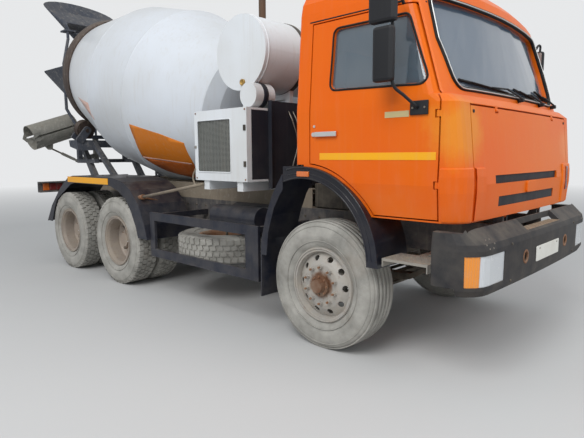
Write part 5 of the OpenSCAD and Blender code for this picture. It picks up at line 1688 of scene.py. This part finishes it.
@dataclass
class Studio:
    """The plain pale floor, the soft light and the camera that stands where the photographer stood.

    A lamp has its name, place, size and power. The floor fades into the background between two distances.
    """

    place: Point = (2.5228, -4.1444, 1.5459)
    yaw: float = math.radians(43.38)
    pitch: float = math.radians(7.20)
    roll: float = math.radians(-0.33)
    lens: float = 31.12
    pale: RGB = (0.80, 0.81, 0.82)
    sky: RGB = (0.92, 0.96, 1.0)
    sky_power: float = 0.62
    fade: tuple[float, float] = (7.0, 24.0)
    lamps: tuple = (("key_light", (5.0, -9.0, 9.5), 7.0, 900.0),
                    ("front_light", (10.5, 1.5, 6.5), 6.0, 260.0))
    aim: Point = (0.5, 0.0, 1.4)

    def camera(self) -> None:
        """Makes the camera."""
        data = bpy.data.cameras.new("camera")
        data.lens = self.lens
        data.sensor_width = 36.0
        data.clip_end = 200.0
        cam = bpy.data.objects.new("camera", data)
        bpy.context.scene.collection.objects.link(cam)
        ahead = Vector((-math.sin(self.yaw) * math.cos(self.pitch), math.cos(self.yaw) * math.cos(self.pitch),
                        -math.sin(self.pitch)))
        right = Vector((math.cos(self.yaw), math.sin(self.yaw), 0))
        up = right.cross(ahead)
        right, up = (right * math.cos(self.roll) + up * math.sin(self.roll),
                     up * math.cos(self.roll) - right * math.sin(self.roll))
        turn = Matrix((right, up, -ahead)).transposed().to_4x4()
        cam.matrix_world = Matrix.Translation(spot(*self.place)) @ turn
        bpy.context.scene.camera = cam

    def floor(self) -> None:
        """Makes the pale floor, which fades into the background far out."""
        form = bmesh.new()
        bmesh.ops.create_grid(form, x_segments=1, y_segments=1, size=60.0)
        data = bpy.data.meshes.new("floor")
        form.to_mesh(data)
        form.free()
        ground = bpy.data.objects.new("floor", data)
        bpy.context.scene.collection.objects.link(ground)
        bench = PaintBench("floor_paint", (0.55, 0.55, 0.545))
        away = bench.node("ShaderNodeVectorMath", {0: bench.place}, "LENGTH").outputs["Value"]
        fade = bench.band(away, *self.fade)
        bench.lay((0.57, 0.57, 0.565), bench.cloud(0.6))
        bench.settle(bench.band(fade, -9.0, 1.0), {"Specular IOR Level": 0.0})
        seen = bench.times(fade, bench.node("ShaderNodeLightPath").outputs["Is Camera Ray"])
        glow = bench.node("ShaderNodeEmission", {"Color": self.pale}).outputs[0]
        mixed = bench.node("ShaderNodeMixShader", {0: seen, 1: bench.shader.outputs[0], 2: glow})
        bench.feed(bench.out.inputs[0], mixed.outputs[0])
        data.materials.append(bench.material)

    def sky_light(self) -> None:
        """Makes the world's even light, which camera, metal and glass see as the pale background."""
        world = bpy.data.worlds.new("studio")
        bpy.context.scene.world = world
        world.use_nodes = True
        bench = NodeBench(world.node_tree)
        rays = bench.node("ShaderNodeLightPath").outputs
        seen = bench.calc("MAXIMUM", rays["Is Camera Ray"], rays["Is Glossy Ray"])
        seen = bench.calc("MAXIMUM", seen, rays["Is Transmission Ray"])
        plain = bench.node("ShaderNodeBackground", {"Color": self.sky, "Strength": self.sky_power}).outputs[0]
        pale = bench.node("ShaderNodeBackground", {"Color": self.pale, "Strength": 1.0}).outputs[0]
        mixed = bench.node("ShaderNodeMixShader", {0: seen, 1: plain, 2: pale})
        bench.node("ShaderNodeOutputWorld", {0: mixed.outputs[0]})

    def light(self) -> None:
        """Makes the large soft lamps, aimed at the truck."""
        for name, place, size, power in self.lamps:
            data = bpy.data.lights.new(name, "AREA")
            data.shape = "DISK"
            data.size = size
            data.energy = power
            lamp = bpy.data.objects.new(name, data)
            bpy.context.scene.collection.objects.link(lamp)
            lamp.location = place
            lamp.rotation_euler = (Vector(self.aim) - Vector(place)).to_track_quat("-Z", "Y").to_euler()

    def build(self) -> None:
        """Sets the studio up and keeps the plain display."""
        self.camera()
        self.floor()
        self.sky_light()
        self.light()
        bpy.context.scene.view_settings.view_transform = "Standard"


@dataclass
class PaintShop:
    """Which finish each CAD part wears; a part of a pair is named without its side."""

    single: tuple = (
        (Finish.CAB, "cab_shell front_lid"), (Finish.WING, "front_wings"), (Finish.SCREEN, "cab_glass"),
        (Finish.SEAT, "cab_interior"), (Finish.TRIM, "steering_wheel"), (Finish.PLASTIC, "bumper"),
        (Finish.LAMP, "headlamps"), (Finish.STEP, "steps"), (Finish.FRAME, "frame"),
        (Finish.BEAM, "subframe"),
        (Finish.NAVY, "mudguards side_guards side_tanks ladder"), (Finish.DRUM, "drum"),
        (Finish.OILY, "drivetrain axles springs track_rod"), (Finish.CASTING, "drum_drive"),
        (Finish.HOPPER, "roller_station loading_hopper discharge_hopper"), (Finish.STEEL, "jack_rod"),
        (Finish.MIXER, "chute_swivel chute_main chute_fold jack_tube"), (Finish.SHIELD, "rear_shield"),
        (Finish.TANK, "water_tank cooler_cabinet"), (Finish.STACK, "exhaust_stack"))
    paired: tuple = (
        (Finish.CAB, "door"), (Finish.PANE, "door_glass"), (Finish.TRIM, "mirror"), (Finish.OILY, "knuckle"),
        (Finish.RING, "roller"), (Finish.HUB_FRONT, "front_wheel"), (Finish.HUB_MID, "mid_wheel"),
        (Finish.HUB_REAR, "rear_wheel"))

    def table(self) -> dict[str, Finish]:
        """The finish of each CAD part, apart from the tyres.

        Returns:
            The finish by the part's name.
        """
        table = {name: finish for finish, names in self.single for name in names.split()}
        return table | {f"{name}_{side.word}": finish for finish, name in self.paired for side in Side}

    def build(self) -> None:
        """Gives each CAD part its finish."""
        table = self.table()
        for name, part in frame["nodes"].items():
            finish = table.get(name, Finish.TYRE)
            part.data.materials.clear()
            part.data.materials.append(finish.made)
            LOG.info("%s wears %s", name, finish.value.name)


def note_size() -> None:
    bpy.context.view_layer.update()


def main() -> None:
    """Builds the truck's dressing and the studio."""
    logging.basicConfig(level=logging.INFO)
    note_size()
    PaintShop().build()
    for side in Side:
        RoadWheel("front", side, 0.0, 1.020, 0.520, Finish.HUB_FRONT, twin=False, ribbed=True).build()
        RoadWheel("mid", side, MID_AXLE, 0.922, 0.528, Finish.HUB_MID).build()
        RoadWheel("rear", side, REAR_AXLE, 0.922, 0.528, Finish.HUB_REAR).build()
        DoorTrim(side).build()
        CornerPanel(side).build()
        DoorMirrors(side).build()
    for group in (SpareWheel, CabGlazing, FacingPanel, BumperDress, GuardDress, DrumDress, TankDress,
                  CabinetDress, BehindCab, RearEnd, Studio):
        group().build()
    note_size()


if __name__ == "__main__":
    main()
